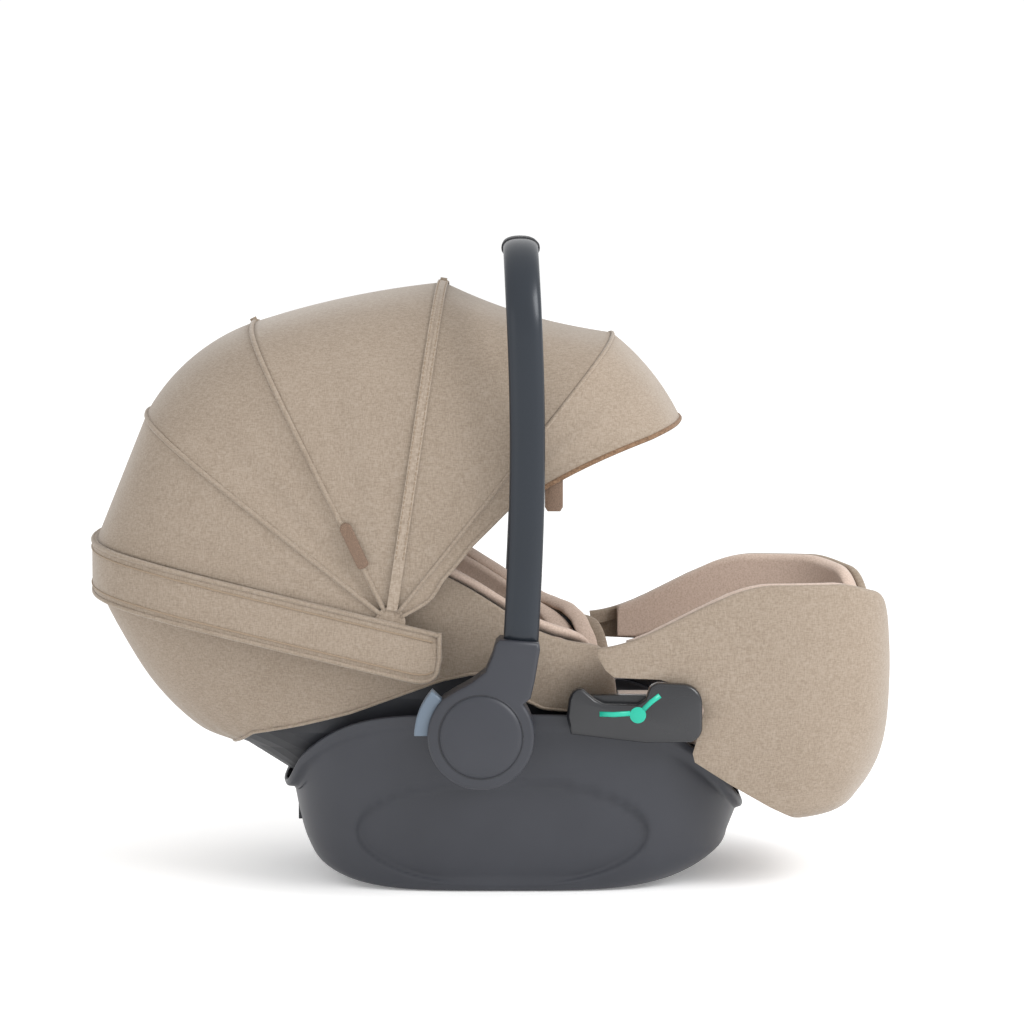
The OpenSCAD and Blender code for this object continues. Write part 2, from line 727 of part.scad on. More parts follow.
module headrest_lever() {
    color(soft_black) translate([head_x0 - 8.3, -24, hub_z + 77]) cube([8, 48, 12]);
}

// ---- Leg section -------------------------------------------------------------------------

leg_x1 = leg_hinge[0] + leg_len;
leg_half_w = leg_w / 2;
leg_cut = leg_hinge[0] + 8;
cover_cut = 106;
leg_bowl = [20, leg_x1, leg_half_w, 120, leg_x1 - 100, 124, 70];
leg_foot_e = 4;
leg_levels = [[0, 0], [0.5, 0.035], [0.7, 0.14], [0.88, 0.33], [0.97, 0.55], [1, 0.85], [0.985, 1]];
leg_rim = function (x, y)
    let (side = 226 + 58 * ease(100, 270, x) - 12 * ease(leg_x1 - 54, leg_x1, x),
         dip = ease(leg_x1 - 60, leg_x1 - 20, x) * (1 - ease(0.3, 0.75, abs(y) / leg_half_w)))
    side - 62 * dip;
leg_inner = [20, leg_x1 - 18, leg_half_w - 18, 120, leg_x1 - 80, 118, 128];

module rear_cut(x) {
    translate([x - 300, -300, 0]) cube([300, 600, 400]);
}

// Height of the cut over the base rim: a wider base meets the cover further up.
cut_z = 118 + 0.4 * (base_half_w - 160);
// Clears the base rim and the belt guides.
module base_cut(grow) {
    side_plate(-300, 300) polygon([[0, 0], [base_x1 + 44, 0], [base_x1 + 44, 70], [base_x1, 96 + grow],
        [base_x1 - 44, cut_z + grow], [base_x1 - 47, cut_z + 10], [204 + grow, 160], [204 + grow, 180], [192, 201 + grow],
        [150, 206 + grow], [110, 206 + grow], [60, 210 + grow], [0, 300]]);
}

wing_y = arm_y0 - 2;
wing_x = max(204, base_x1 - 44);
// Room under the leg shell for the base, and beside it for the belt guides and arms.
module tub_cut() {
    side_plate(-300, 300) polygon([[0, 0], [leg_x1, 0], [base_x1 + 44, 90], [base_x1 - 18, 118],
        [base_x1 - 48, 136], [100, 146], [0, 146]]);
    both_sides() side_plate(wing_y, wing_y + 60)
        polygon([[90, 100], [wing_x, 100], [wing_x + 2, 190], [190, 204], [100, 206], [90, 206]]);
}

module leg_shell() {
    color(soft_black) difference() {
        wall(bowl_rings(leg_bowl, leg_rim, leg_levels, cover_t + layer_gap, 5, leg_foot_e, 40),
             bowl_rings(leg_bowl, leg_rim, leg_levels, cover_t + shell_t, 5, leg_foot_e, 40));
        rear_cut(leg_cut);
        tub_cut();
    }
}

module leg_cover() {
    levels = [for (i = [1 : len(leg_levels) - 1]) leg_levels[i]];
    color(oatmeal) difference() {
        wall(bowl_rings(leg_bowl, leg_rim, levels, 0, 5, leg_foot_e, 40),
             bowl_rings(leg_bowl, leg_rim, levels, cover_t, 5, leg_foot_e, 40), closed = true);
        rear_cut(cover_cut);
        base_cut(0);
    }
}

module leg_pad() {
    color(pinkish_tan) difference() {
        wall(bowl_rings(leg_bowl, leg_rim, leg_levels, cover_t + shell_t + layer_gap, 5, leg_foot_e, 40),
             bowl_rings(leg_inner, leg_rim, leg_levels, 0, 5, leg_foot_e, 40));
        rear_cut(leg_cut);
        tub_cut();
    }
}

module leg_arms() {
    color(steel) both_sides() difference() {
        union() {
            y_rod(leg_hinge[0], leg_hinge[1], arm_d, arm_y0, arm_y1);
            translate([leg_hinge[0], arm_y0, leg_hinge[1] - 6]) cube([60, arm_y1 - arm_y0, 12]);
            translate([leg_hinge[0] + 25, wing_y, leg_hinge[1] - 6]) cube([35, arm_y0 - wing_y, 12]);
        }
        y_rod(leg_hinge[0], leg_hinge[1], 8 + 2 * pivot_gap, arm_y0 - 1, arm_y1 + 1);
    }
}

module recline_lever() {
    color(soft_black) translate([leg_x1 + 0.3, -26, 160]) cube([4, 52, 26]);
}

base_shell();
base_ribs();
rocker_pads();
lock_bars();
belt_guides();
belt_marks();
pivot_bosses();
pivot_bolts();
lock_gears();
base_screws();
recline_latch();
latch_spring();
leg_pivots();
release_lever();
handle_tube();
handle_grip();
hub_shell_left();
hub_shell_right();
hub_caps();
button_springs();
handle_button_left();
handle_button_right();
back_shell();
back_liner();
back_cover();
back_pad();
rim_pad();
recline_plates();
recline_rack();
canopy_band();
canopy_rear();
canopy_pivots();
crotch_strap();
crotch_pad();
buckle_body();
buckle_button();
adjuster_strap();
adjuster_button();
shoulder_straps();
chest_pads();
buckle_tongues();
headrest_board();
headrest_cushion();
headrest_lever();
rib_a();
panel_ab();
rib_b();
panel_bc();
rib_c();
panel_cd();
rib_d();
visor();
front_tab();
zip_slider();
zip_pull();
leg_shell();
leg_cover();
leg_pad();
leg_arms();
recline_lever();
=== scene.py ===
import json
import math

import bmesh
import bpy
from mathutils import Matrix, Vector
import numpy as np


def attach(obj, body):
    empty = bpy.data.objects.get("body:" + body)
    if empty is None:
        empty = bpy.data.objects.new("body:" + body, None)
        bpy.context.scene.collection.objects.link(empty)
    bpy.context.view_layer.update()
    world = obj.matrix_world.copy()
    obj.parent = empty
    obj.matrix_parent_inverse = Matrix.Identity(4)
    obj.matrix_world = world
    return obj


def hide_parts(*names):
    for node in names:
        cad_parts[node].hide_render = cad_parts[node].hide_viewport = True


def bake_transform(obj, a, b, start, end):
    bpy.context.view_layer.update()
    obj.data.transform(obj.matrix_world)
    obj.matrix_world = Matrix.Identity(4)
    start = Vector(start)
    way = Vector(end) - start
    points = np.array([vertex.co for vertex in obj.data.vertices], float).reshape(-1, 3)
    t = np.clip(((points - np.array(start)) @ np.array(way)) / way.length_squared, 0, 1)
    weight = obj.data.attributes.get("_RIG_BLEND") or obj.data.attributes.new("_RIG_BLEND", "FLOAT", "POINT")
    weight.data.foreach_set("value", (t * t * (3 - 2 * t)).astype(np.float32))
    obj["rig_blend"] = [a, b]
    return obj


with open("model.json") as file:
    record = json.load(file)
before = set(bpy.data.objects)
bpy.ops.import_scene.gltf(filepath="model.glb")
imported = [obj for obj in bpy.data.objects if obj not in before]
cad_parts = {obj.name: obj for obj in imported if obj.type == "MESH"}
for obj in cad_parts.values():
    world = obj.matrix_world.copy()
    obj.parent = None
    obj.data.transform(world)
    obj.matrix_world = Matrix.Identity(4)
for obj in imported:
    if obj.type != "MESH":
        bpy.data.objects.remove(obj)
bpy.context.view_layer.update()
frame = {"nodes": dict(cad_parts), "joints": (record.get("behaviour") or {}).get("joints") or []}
scene = bpy.context.scene
nodes = frame["nodes"]

# ---- Camera --------------------------------------------------------------------------
# A product camera on a tripod, square on to the side of the seat.
# It stands 3.5 m away, a little above the seat, and looks slightly down.
camera = bpy.data.objects.new("camera", bpy.data.cameras.new("camera"))
camera.location = (0.0281, -3.5, 0.625)
camera.rotation_euler = (math.radians(90 - 4.628), 0, 0)
camera.data.lens = 129.0
camera.data.clip_end = 60
scene.collection.objects.link(camera)
scene.camera = camera


# ---- Studio --------------------------------------------------------------------------
# A white sweep of paint under an even white ceiling, with one large softbox to
# the right and in front of the seat and a weaker one low on the left.
def linear(hexa):
    steps = [int(hexa[i:i + 2], 16) / 255 for i in (1, 3, 5)]
    return (*[c / 12.92 if c <= 0.04045 else ((c + 0.055) / 1.055) ** 2.4 for c in steps], 1.0)


def add_node(tree, kind, feeds=None, stops=(), **settings):
    node = tree.nodes.new("ShaderNode" + kind)
    for at, colour in enumerate(stops):
        node.color_ramp.elements[at].color = linear(colour)
    for key, value in settings.items():
        setattr(node, key, value)
    for socket, value in (feeds or {}).items():
        if isinstance(value, bpy.types.NodeSocket):
            tree.links.new(value, node.inputs[socket])
        else:
            node.inputs[socket].default_value = value
    return node


def new_material(name, **shader):
    material = bpy.data.materials.new(name)
    material.use_nodes = True
    tree = material.node_tree
    surface = tree.nodes["Principled BSDF"]
    for socket, value in shader.items():
        surface.inputs[socket.replace("_", " ")].default_value = value
    return material, tree, surface


def softbox(name, place, target, width, height, watts):
    lamp = bpy.data.objects.new(name, bpy.data.lights.new(name, "AREA"))
    lamp.data.shape, lamp.data.size, lamp.data.size_y = "RECTANGLE", width, height
    lamp.data.energy = watts
    lamp.location = place
    lamp.rotation_euler = (Vector(target) - Vector(place)).to_track_quat("-Z", "Y").to_euler()
    scene.collection.objects.link(lamp)


scene.view_settings.view_transform = "Standard"
scene.world = bpy.data.worlds.new("studio")
scene.world.use_nodes = True
scene.world.node_tree.nodes["Background"].inputs["Color"].default_value = (1, 1, 1, 1)
scene.world.node_tree.nodes["Background"].inputs["Strength"].default_value = 1.04
softbox("key", (1.9, -1.3, 1.7), (0.0, 0.0, 0.25), 1.2, 1.2, 40)
softbox("fill", (-2.2, -2.4, 0.9), (0.0, 0.0, 0.3), 1.6, 1.4, 4)

floor_mesh = bpy.data.meshes.new("floor")
bm = bmesh.new()
bmesh.ops.create_grid(bm, x_segments=2, y_segments=2, size=20)
bm.to_mesh(floor_mesh)
bm.free()
floor = bpy.data.objects.new("floor", floor_mesh)
scene.collection.objects.link(floor)
# The sweep is lit from below as well, so that shadows stay pale.
paint, tree, surface = new_material("matt white floor paint", Base_Color=(0.985, 0.985, 0.985, 1),
                                    Roughness=0.9, Specular_IOR_Level=0.0, Emission_Strength=0.2,
                                    Emission_Color=(1, 1, 1, 1))
floor_mesh.materials.append(paint)

# ---- Rocker base ---------------------------------------------------------------------
# One injection-moulded tub of polypropylene with a rolled rim and a shallow oval
# recess in each side. It rocks on its curved ends and rests on its flat middle.
MM = 0.001
HUB = Vector(frame["joints"][0]["pos_m"])


def lerp(a, b, t):
    return a + (b - a) * t


def ease(a, b, v):
    t = min(1, max(0, (v - a) / (b - a)))
    return t * t * (3 - 2 * t)


def along(points, t):
    """A smooth curve through a list of points, with t from 0 to 1."""
    last = len(points) - 1
    k = min(int(t * last), last - 1)
    f = t * last - k
    p = [points[min(max(k + i, 0), last)] for i in (-1, 0, 1, 2)]
    return tuple(0.5 * (2 * b + (c - a) * f + (2 * a - 5 * b + 4 * c - d) * f ** 2
                        + (3 * b - a - 3 * c + d) * f ** 3) for a, b, c, d in zip(*p))


def finish_mesh(name, bm, material, smooth=True):
    mesh = bpy.data.meshes.new(name)
    bm.to_mesh(mesh)
    bm.free()
    piece = bpy.data.objects.new(name, mesh)
    scene.collection.objects.link(piece)
    for one in material if isinstance(material, list) else [material]:
        mesh.materials.append(one)
    if smooth:
        mesh.shade_smooth()
    return piece


def skin(name, across, lengthwise, place, material):
    """A grid laid over a surface, where place(u, v) gives the point for u, v in 0 to 1."""
    bm = bmesh.new()
    bm.loops.layers.uv.verify()
    bmesh.ops.create_grid(bm, x_segments=across, y_segments=lengthwise, size=0.5, calc_uvs=True)
    for vert in bm.verts:
        vert.co = place(vert.co.x + 0.5, vert.co.y + 0.5)
    bmesh.ops.remove_doubles(bm, verts=bm.verts, dist=0.02 * MM)
    bmesh.ops.recalc_face_normals(bm, faces=bm.faces)
    return finish_mesh(name, bm, material)


def settle(piece):
    """Applies the piece's modifiers to its mesh."""
    view = bpy.context.evaluated_depsgraph_get()
    mesh = bpy.data.meshes.new_from_object(piece.evaluated_get(view))
    piece.modifiers.clear()
    old, piece.data = piece.data, mesh
    bpy.data.meshes.remove(old)
    return piece


def soften(piece, width, sharper_than=50):
    """Rounds the piece's sharp edges."""
    soft = piece.modifiers.new("edge", "BEVEL")
    soft.width, soft.segments, soft.limit_method = width, 2, "ANGLE"
    soft.angle_limit = math.radians(sharper_than)
    return settle(piece)


def thicken(piece, thickness, offset=0.0, edge=0.0):
    wall = piece.modifiers.new("thickness", "SOLIDIFY")
    wall.thickness, wall.offset, wall.use_even_offset = thickness, offset, True
    return soften(piece, edge) if edge else settle(piece)


def outline_plate(name, outline, y0, y1, round_by, material, segments=3):
    """A side outline in X and Z, drawn out along Y, with its edges rounded."""
    y0, y1 = sorted((y0, y1))
    bm = bmesh.new()
    face = bm.faces.new([bm.verts.new((x * MM, y0 * MM, z * MM)) for x, z in outline])
    drawn = bmesh.ops.extrude_face_region(bm, geom=[face])
    moved = [v for v in drawn["geom"] if isinstance(v, bmesh.types.BMVert)]
    bmesh.ops.translate(bm, verts=moved, vec=(0, (y1 - y0) * MM, 0))
    bmesh.ops.recalc_face_normals(bm, faces=bm.faces)
    if round_by:
        rims = [e for e in bm.edges if abs(e.verts[0].co.y - e.verts[1].co.y) < MM * 0.01]
        bmesh.ops.bevel(bm, geom=rims, offset=round_by * MM, offset_type="OFFSET", segments=segments,
                        profile=0.5, affect="EDGES", clamp_overlap=True, material=-1)
    return finish_mesh(name, bm, material)


def carve(piece, outline, y0, y1):
    """Cuts a side outline right through the piece, from y0 to y1."""
    cutter = outline_plate("cutter", outline, y0, y1, 0, [])
    cut = piece.modifiers.new("cut", "BOOLEAN")
    cut.object, cut.operation, cut.solver = cutter, "DIFFERENCE", "EXACT"
    settle(piece)
    bpy.data.objects.remove(cutter)
    return piece


def moulded(name, colour, roughness, grain_mm, depth_mm, lighter, coat=0.0, ior=1.49):
    """Injection-moulded plastic: an even body colour with a fine spark-eroded grain,
    slightly lighter and smoother where edges have been rubbed."""
    material, tree, surface = new_material(name, IOR=ior, Coat_Weight=coat, Coat_Roughness=0.25)
    place = add_node(tree, "TexCoord").outputs["Object"]
    grain = add_node(tree, "TexNoise", {"Vector": place, "Scale": 1000 / grain_mm, "Detail": 2.0})
    cloud = add_node(tree, "TexNoise", {"Vector": place, "Scale": 14.0, "Detail": 3.0})
    tint = add_node(tree, "ValToRGB", {"Fac": cloud.outputs["Fac"]}, stops=(colour, lighter))
    tint.color_ramp.elements[0].position, tint.color_ramp.elements[1].position = 0.3, 0.9
    rubbed = add_node(tree, "MapRange", {"Value": add_node(tree, "NewGeometry").outputs["Pointiness"],
                                         "From Min": 0.53, "From Max": 0.62, "To Max": 0.35})
    mixed = add_node(tree, "Mix", data_type="RGBA")
    tree.links.new(rubbed.outputs["Result"], mixed.inputs["Factor"])
    tree.links.new(tint.outputs["Color"], mixed.inputs[6])
    mixed.inputs[7].default_value = linear(lighter)
    tree.links.new(mixed.outputs[2], surface.inputs["Base Color"])
    rough = add_node(tree, "MapRange", {"Value": cloud.outputs["Fac"], "To Min": roughness - 0.05,
                                        "To Max": roughness + 0.06})
    tree.links.new(rough.outputs["Result"], surface.inputs["Roughness"])
    bump = add_node(tree, "Bump", {"Height": grain.outputs["Fac"], "Strength": 0.5,
                                   "Distance": depth_mm * MM})
    tree.links.new(bump.outputs["Normal"], surface.inputs["Normal"])
    return material


# Glass-filled polypropylene, grained in the mould: a satin anthracite grey.
# The grain is really 0.3 mm; it is drawn 1 mm wide so that it shows.
base_plastic = moulded("anthracite moulded polypropylene", "#2B2D34", 0.42, 1.0, 0.05, "#33353C")

# Rings of the tub, from the middle of its floor out and up to the rim: ends along
# X, half width, then the height at the head end, at the sides and at the foot end.
base_rings = [(27, 27, 0, 0, 0, 0), (-40, 95, 70, 0, 0, 0), (-76, 130, 112, 1, 0, 1),
              (-121, 165, 131, 8, 0.5, 5), (-154, 201, 141, 18, 3, 14), (-167, 227, 148, 37, 24, 31),
              (-174, 234, 152.5, 60, 70, 46), (-179, 240, 156, 84, 128, 60),
              (-181, 241.5, 157, 87, 150, 62), (-187, 246.5, 159.2, 88, 158, 64),
              (-189, 248, 160, 92, 166, 67)]


def superellipse(theta, power_head, power_foot):
    c, s = math.cos(theta), math.sin(theta)
    e = power_head if c < 0 else power_foot
    return math.copysign(abs(c) ** (2 / e), c), math.copysign(abs(s) ** (2 / e), s)


def base_point(theta, step, inset):
    head, foot, half, z_head, z_side, z_foot = along(base_rings, step)
    c, s = superellipse(theta, 3.4, 3.4)
    x = (head + foot) / 2 + max((foot - head) / 2 - inset, 0) * c
    y = max(half - inset, 0) * s
    d = 2 * (x - (head + foot) / 2) / max(foot - head, 1)
    z = z_side + ((z_head - z_side) * (-d) ** 5 if d < 0 else (z_foot - z_side) * d ** 4)
    z = max(z, 0) + inset * (1 - ease(0.5, 0.9, step))
    if step > 0.7 and x < 0:
        z = min(z, lerp(z, z_head, 1 - ease(60, 112, abs(y))))
    oval = math.sqrt(((x - 19) / 138) ** 2 + ((z - 56) / 52) ** 2)
    # The recess is deepest along its edge, and its middle is gently crowned.
    dent = (1 - ease(0.95, 1.0, oval)) * lerp(3.4, 6.0, min(1, oval) ** 4)
    dent = dent * ease(4, 16, z) * ease(80, 130, abs(y))
    return Vector((x, y - math.copysign(dent, y), z)) * MM


def base_place(u, v):
    theta = 2 * math.pi * u
    if v <= 0.72:
        return base_point(theta, v / 0.72, 0)
    if v < 0.78:
        turn = math.pi * (v - 0.72) / 0.06
        rim = base_point(theta, 1, 2 - 2 * math.cos(turn))
        return rim + Vector((0, 0, 2 * math.sin(turn) * MM))
    return base_point(theta, 1 - (v - 0.78) / 0.22, 4)


def fit(piece, body, slot, *stands_for):
    """Fixes a piece to its body and hides the CAD nodes that it stands for. Its finish, slot, is not used.
    """
    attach(piece, body)
    if stands_for:
        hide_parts(*stands_for)
    return piece


base = skin("rocker_base", 500, 160, base_place, base_plastic)
for bar_x in (-107.5, 155.5):
    carve(base, [(bar_x - 21, -2), (bar_x + 21, -2), (bar_x + 21, 44), (bar_x - 21, 44)], -70, 70)
carve(base, [(-200, 51), (-150, 51), (-150, 75), (-200, 75)], -41, 41)
fit(base, "base", "base_plastic", "base_shell")


def dress(names, material):
    """Gives carried-over CAD nodes their finish."""
    for name in names:
        nodes[name].data.materials.clear()
        nodes[name].data.materials.append(material)


dress(["base_ribs", "pivot_bosses"], base_plastic)

# ---- Pads, lock bars, latch and pivots -----------------------------------------------
# Four rubber pads, two zinc-plated steel bars that the vehicle base grips, and the
# pressed steel plates, bolts, springs and latch of the recline and the handle lock.
rubber = moulded("black thermoplastic rubber", "#1B1C1E", 0.75, 1.4, 0.05, "#2A2B2D")
black_plastic = moulded("black moulded polypropylene", "#1D1E22", 0.52, 1.0, 0.07, "#303238")


def link_up(tree, surface, tint, bump=None):
    """Sends a pattern's colour, and its relief, to the surface."""
    tree.links.new(tint.outputs["Color"], surface.inputs["Base Color"])
    if bump:
        tree.links.new(bump.outputs["Normal"], surface.inputs["Normal"])


def plated_steel(name):
    """Zinc-plated mild steel: bright, a little blue, with faint rolling lines 0.8 mm apart."""
    material, tree, surface = new_material(name, Metallic=1.0)
    place = add_node(tree, "TexCoord").outputs["Object"]
    lines = add_node(tree, "Mapping", {"Vector": place, "Scale": (1250, 60, 1250)})
    rolled = add_node(tree, "TexNoise", {"Vector": lines.outputs["Vector"], "Scale": 1.0, "Detail": 3.0})
    tint = add_node(tree, "ValToRGB", {"Fac": rolled.outputs["Fac"]}, stops=("#8E9399", "#B4B8BE"))
    link_up(tree, surface, tint)
    rough = add_node(tree, "MapRange", {"Value": rolled.outputs["Fac"], "To Min": 0.26, "To Max": 0.42})
    tree.links.new(rough.outputs["Result"], surface.inputs["Roughness"])
    return material


steel = plated_steel("zinc-plated steel")
dress(["rocker_pads"], rubber)
dress(["lock_bars", "pivot_bolts", "lock_gears", "base_screws", "recline_latch", "latch_spring",
       "leg_pivots", "button_springs", "recline_plates", "recline_rack", "leg_arms"], steel)
dress(["release_lever", "back_shell", "leg_shell", "recline_lever", "canopy_pivots", "headrest_board",
       "headrest_lever", "adjuster_button", "zip_slider"], black_plastic)

# ---- Belt guides ---------------------------------------------------------------------
# A glossy black hook on each side of the base holds the vehicle's lap belt. A green
# line with a round mark, moulded into it, shows where the belt runs.
guide_black = moulded("gloss black ABS", "#17181B", 0.26, 2.0, 0.02, "#26272B", coat=0.25)
mark_green = moulded("green moulded ABS", "#00A287", 0.35, 2.0, 0.02, "#22B79C")


def arc(cx, cz, r, a0, a1, steps):
    return [(cx + r * math.cos(math.radians(lerp(a0, a1, i / steps))),
             cz + r * math.sin(math.radians(lerp(a0, a1, i / steps)))) for i in range(steps + 1)]


def close_bar(name, bm, rings, material):
    """Joins rings of one size into a bar with closed ends."""
    for a, b in zip(rings, rings[1:]):
        for i in range(len(a)):
            k = (i + 1) % len(a)
            bm.faces.new((a[i], a[k], b[k], b[i]))
    bm.faces.new(rings[0])
    bm.faces.new(rings[-1])
    bmesh.ops.recalc_face_normals(bm, faces=bm.faces)
    return finish_mesh(name, bm, material)


def tube(name, points, radius, material, sides=10, flat=1.0, across=(0, 1, 0)):
    """A rounded bar or strip along a path; flat below 1 thins it across the given way."""
    bm = bmesh.new()
    rings = []
    for i, p in enumerate(points):
        ahead = (points[min(i + 1, len(points) - 1)] - points[max(i - 1, 0)]).normalized()
        side = ahead.cross(Vector(across)).normalized()
        up = side.cross(ahead).normalized()
        ring = bmesh.ops.create_circle(bm, segments=sides, radius=radius)["verts"]
        for vert in ring:
            x, y = vert.co.x, vert.co.y
            vert.co = p + side * x + up * y * flat
        rings.append(ring)
    return close_bar(name, bm, rings, material)


guide_outline = ([(82, 152), (78, 168), (80, 184)] + arc(90, 185, 9, 160, 70, 5)
                 + [(104, 184), (112, 180), (130, 179.5), (143, 179), (150, 184)]
                 + arc(163, 187, 12, 140, 90, 4) + arc(184, 180, 18, 80, 0, 8)
                 + arc(188, 158, 14, 0, -75, 6) + [(150, 144)])
mark_line = [(108, 171), (121, 170.5), (136, 171.5)]
mark_rise = [(148, 175), (155, 182), (163, 188)]
GUIDE_ARM, GUIDE_IN, GUIDE_OUT, MARK_Y = 148, 160.5, 177, 177.2
for side, label in ((-1, "near"), (1, "far")):
    guide = outline_plate("belt_guide_" + label, guide_outline, side * GUIDE_IN, side * GUIDE_OUT, 3.5,
                          guide_black, 4)
    arm = outline_plate("belt_guide_arm_" + label,
                        [(84, 172), (84, 186), (196, 186), (196, 172), (150, 169)],
                        side * GUIDE_ARM, side * GUIDE_IN, 1, guide_black)
    face = side * MARK_Y
    line, rise = [tube(name + label, [Vector((x, face, z)) * MM for x, z in path], 2.4 * MM,
                       mark_green, 8, 0.35)
                  for name, path in (("belt_line_", mark_line), ("belt_line_rise_", mark_rise))]
    dot = outline_plate("belt_mark_" + label, arc(143, 170, 7.5, 0, 345, 23),
                        face, face + side * 0.6, 0.25, mark_green)
    for piece in (guide, arm):
        fit(piece, "base", "black_plastic", "belt_guides")
    for piece in (line, rise, dot):
        fit(piece, "base", "green_mark", "belt_marks")

# ---- Handle tube and grip ------------------------------------------------------------
# One bent aluminium tube, oval in section, with a satin slate powder coat. A moulded
# rubber grip with fine leather grain is shrunk around its top bar.
coat_paint, tree, surface = new_material("satin slate powder coat", Metallic=0.2, Roughness=0.34,
                                         Specular_IOR_Level=0.35, Coat_Weight=0.15, Coat_Roughness=0.2)
place = add_node(tree, "TexCoord").outputs["Object"]
# Powder coat dries with a fine orange peel, about 1.5 mm across.
peel = add_node(tree, "TexNoise", {"Vector": place, "Scale": 650.0, "Detail": 2.0})
bump = add_node(tree, "Bump", {"Height": peel.outputs["Fac"], "Strength": 0.25, "Distance": 0.05 * MM})
cloud = add_node(tree, "TexNoise", {"Vector": place, "Scale": 9.0, "Detail": 2.0})
tint = add_node(tree, "ValToRGB", {"Fac": cloud.outputs["Fac"]}, stops=("#20252C", "#272D35"))
link_up(tree, surface, tint, bump)
grip_rubber, tree, surface = new_material("black grained grip rubber", Roughness=0.6)
place = add_node(tree, "TexCoord").outputs["Object"]
# Leather grain moulded into the rubber, cells 2 mm across.
cells = add_node(tree, "TexVoronoi", {"Vector": place, "Scale": 500.0}, feature="DISTANCE_TO_EDGE")
bump = add_node(tree, "Bump", {"Height": cells.outputs["Distance"], "Strength": 0.5, "Distance": 0.25 * MM})
tint = add_node(tree, "ValToRGB", {"Fac": cells.outputs["Distance"]}, stops=("#121315", "#24252A"))
tint.color_ramp.elements[1].position = 0.25
link_up(tree, surface, tint, bump)

GRIP_Z, LEG_Y, TUBE_CORNER, SOCKET_Z = 594.9, 200, 74, 236


def tube_x(z):
    t = min(1, max(0, (z - SOCKET_Z) / (GRIP_Z - SOCKET_Z)))
    return 36 + 6 * math.sin(math.pi * t)


leg_path = [Vector((tube_x(z), -LEG_Y, z)) for z in range(SOCKET_Z, int(GRIP_Z - TUBE_CORNER), 12)]
corner_path = [Vector((tube_x(GRIP_Z - TUBE_CORNER + TUBE_CORNER * math.sin(math.radians(a))),
                       -LEG_Y + TUBE_CORNER + TUBE_CORNER * math.cos(math.radians(a)),
                       GRIP_Z - TUBE_CORNER + TUBE_CORNER * math.sin(math.radians(a))))
               for a in range(180, 85, -6)]
half_path = leg_path + corner_path
bar_path = half_path + [Vector((p.x, -p.y, p.z)) for p in reversed(half_path)]


def oval_tube(name, path, wide, thick, material, sides=28):
    """An oval bar along a path in the plane of the handle; wide lies along X."""
    bm = bmesh.new()
    rings = []
    for i, p in enumerate(path):
        ahead = (path[min(i + 1, len(path) - 1)] - path[max(i - 1, 0)]).normalized()
        lead = (Vector((1, 0, 0)) - ahead * ahead.x).normalized()
        out_way = lead.cross(ahead)
        ring = bmesh.ops.create_circle(bm, segments=sides, radius=1)["verts"]
        for vert in ring:
            c, s = vert.co.x, vert.co.y
            c = math.copysign(abs(c) ** 0.86, c)
            s = math.copysign(abs(s) ** 0.86, s)
            vert.co = (p + lead * c * wide / 2 + out_way * s * thick / 2) * MM
        rings.append(ring)
    return close_bar(name, bm, rings, material)


handle = oval_tube("handle_bar", bar_path, 32, 17, coat_paint)
fit(handle, "handle", "handle_coating", "handle_tube")
grip_path = [Vector((36, lerp(-120, 120, i / 24), GRIP_Z)) for i in range(25)]
grip = oval_tube("handle_grip_sleeve", grip_path, 35.6, 20.2, grip_rubber)
soften(grip, 1.5 * MM)
fit(grip, "handle", "grip_cover", "handle_grip")

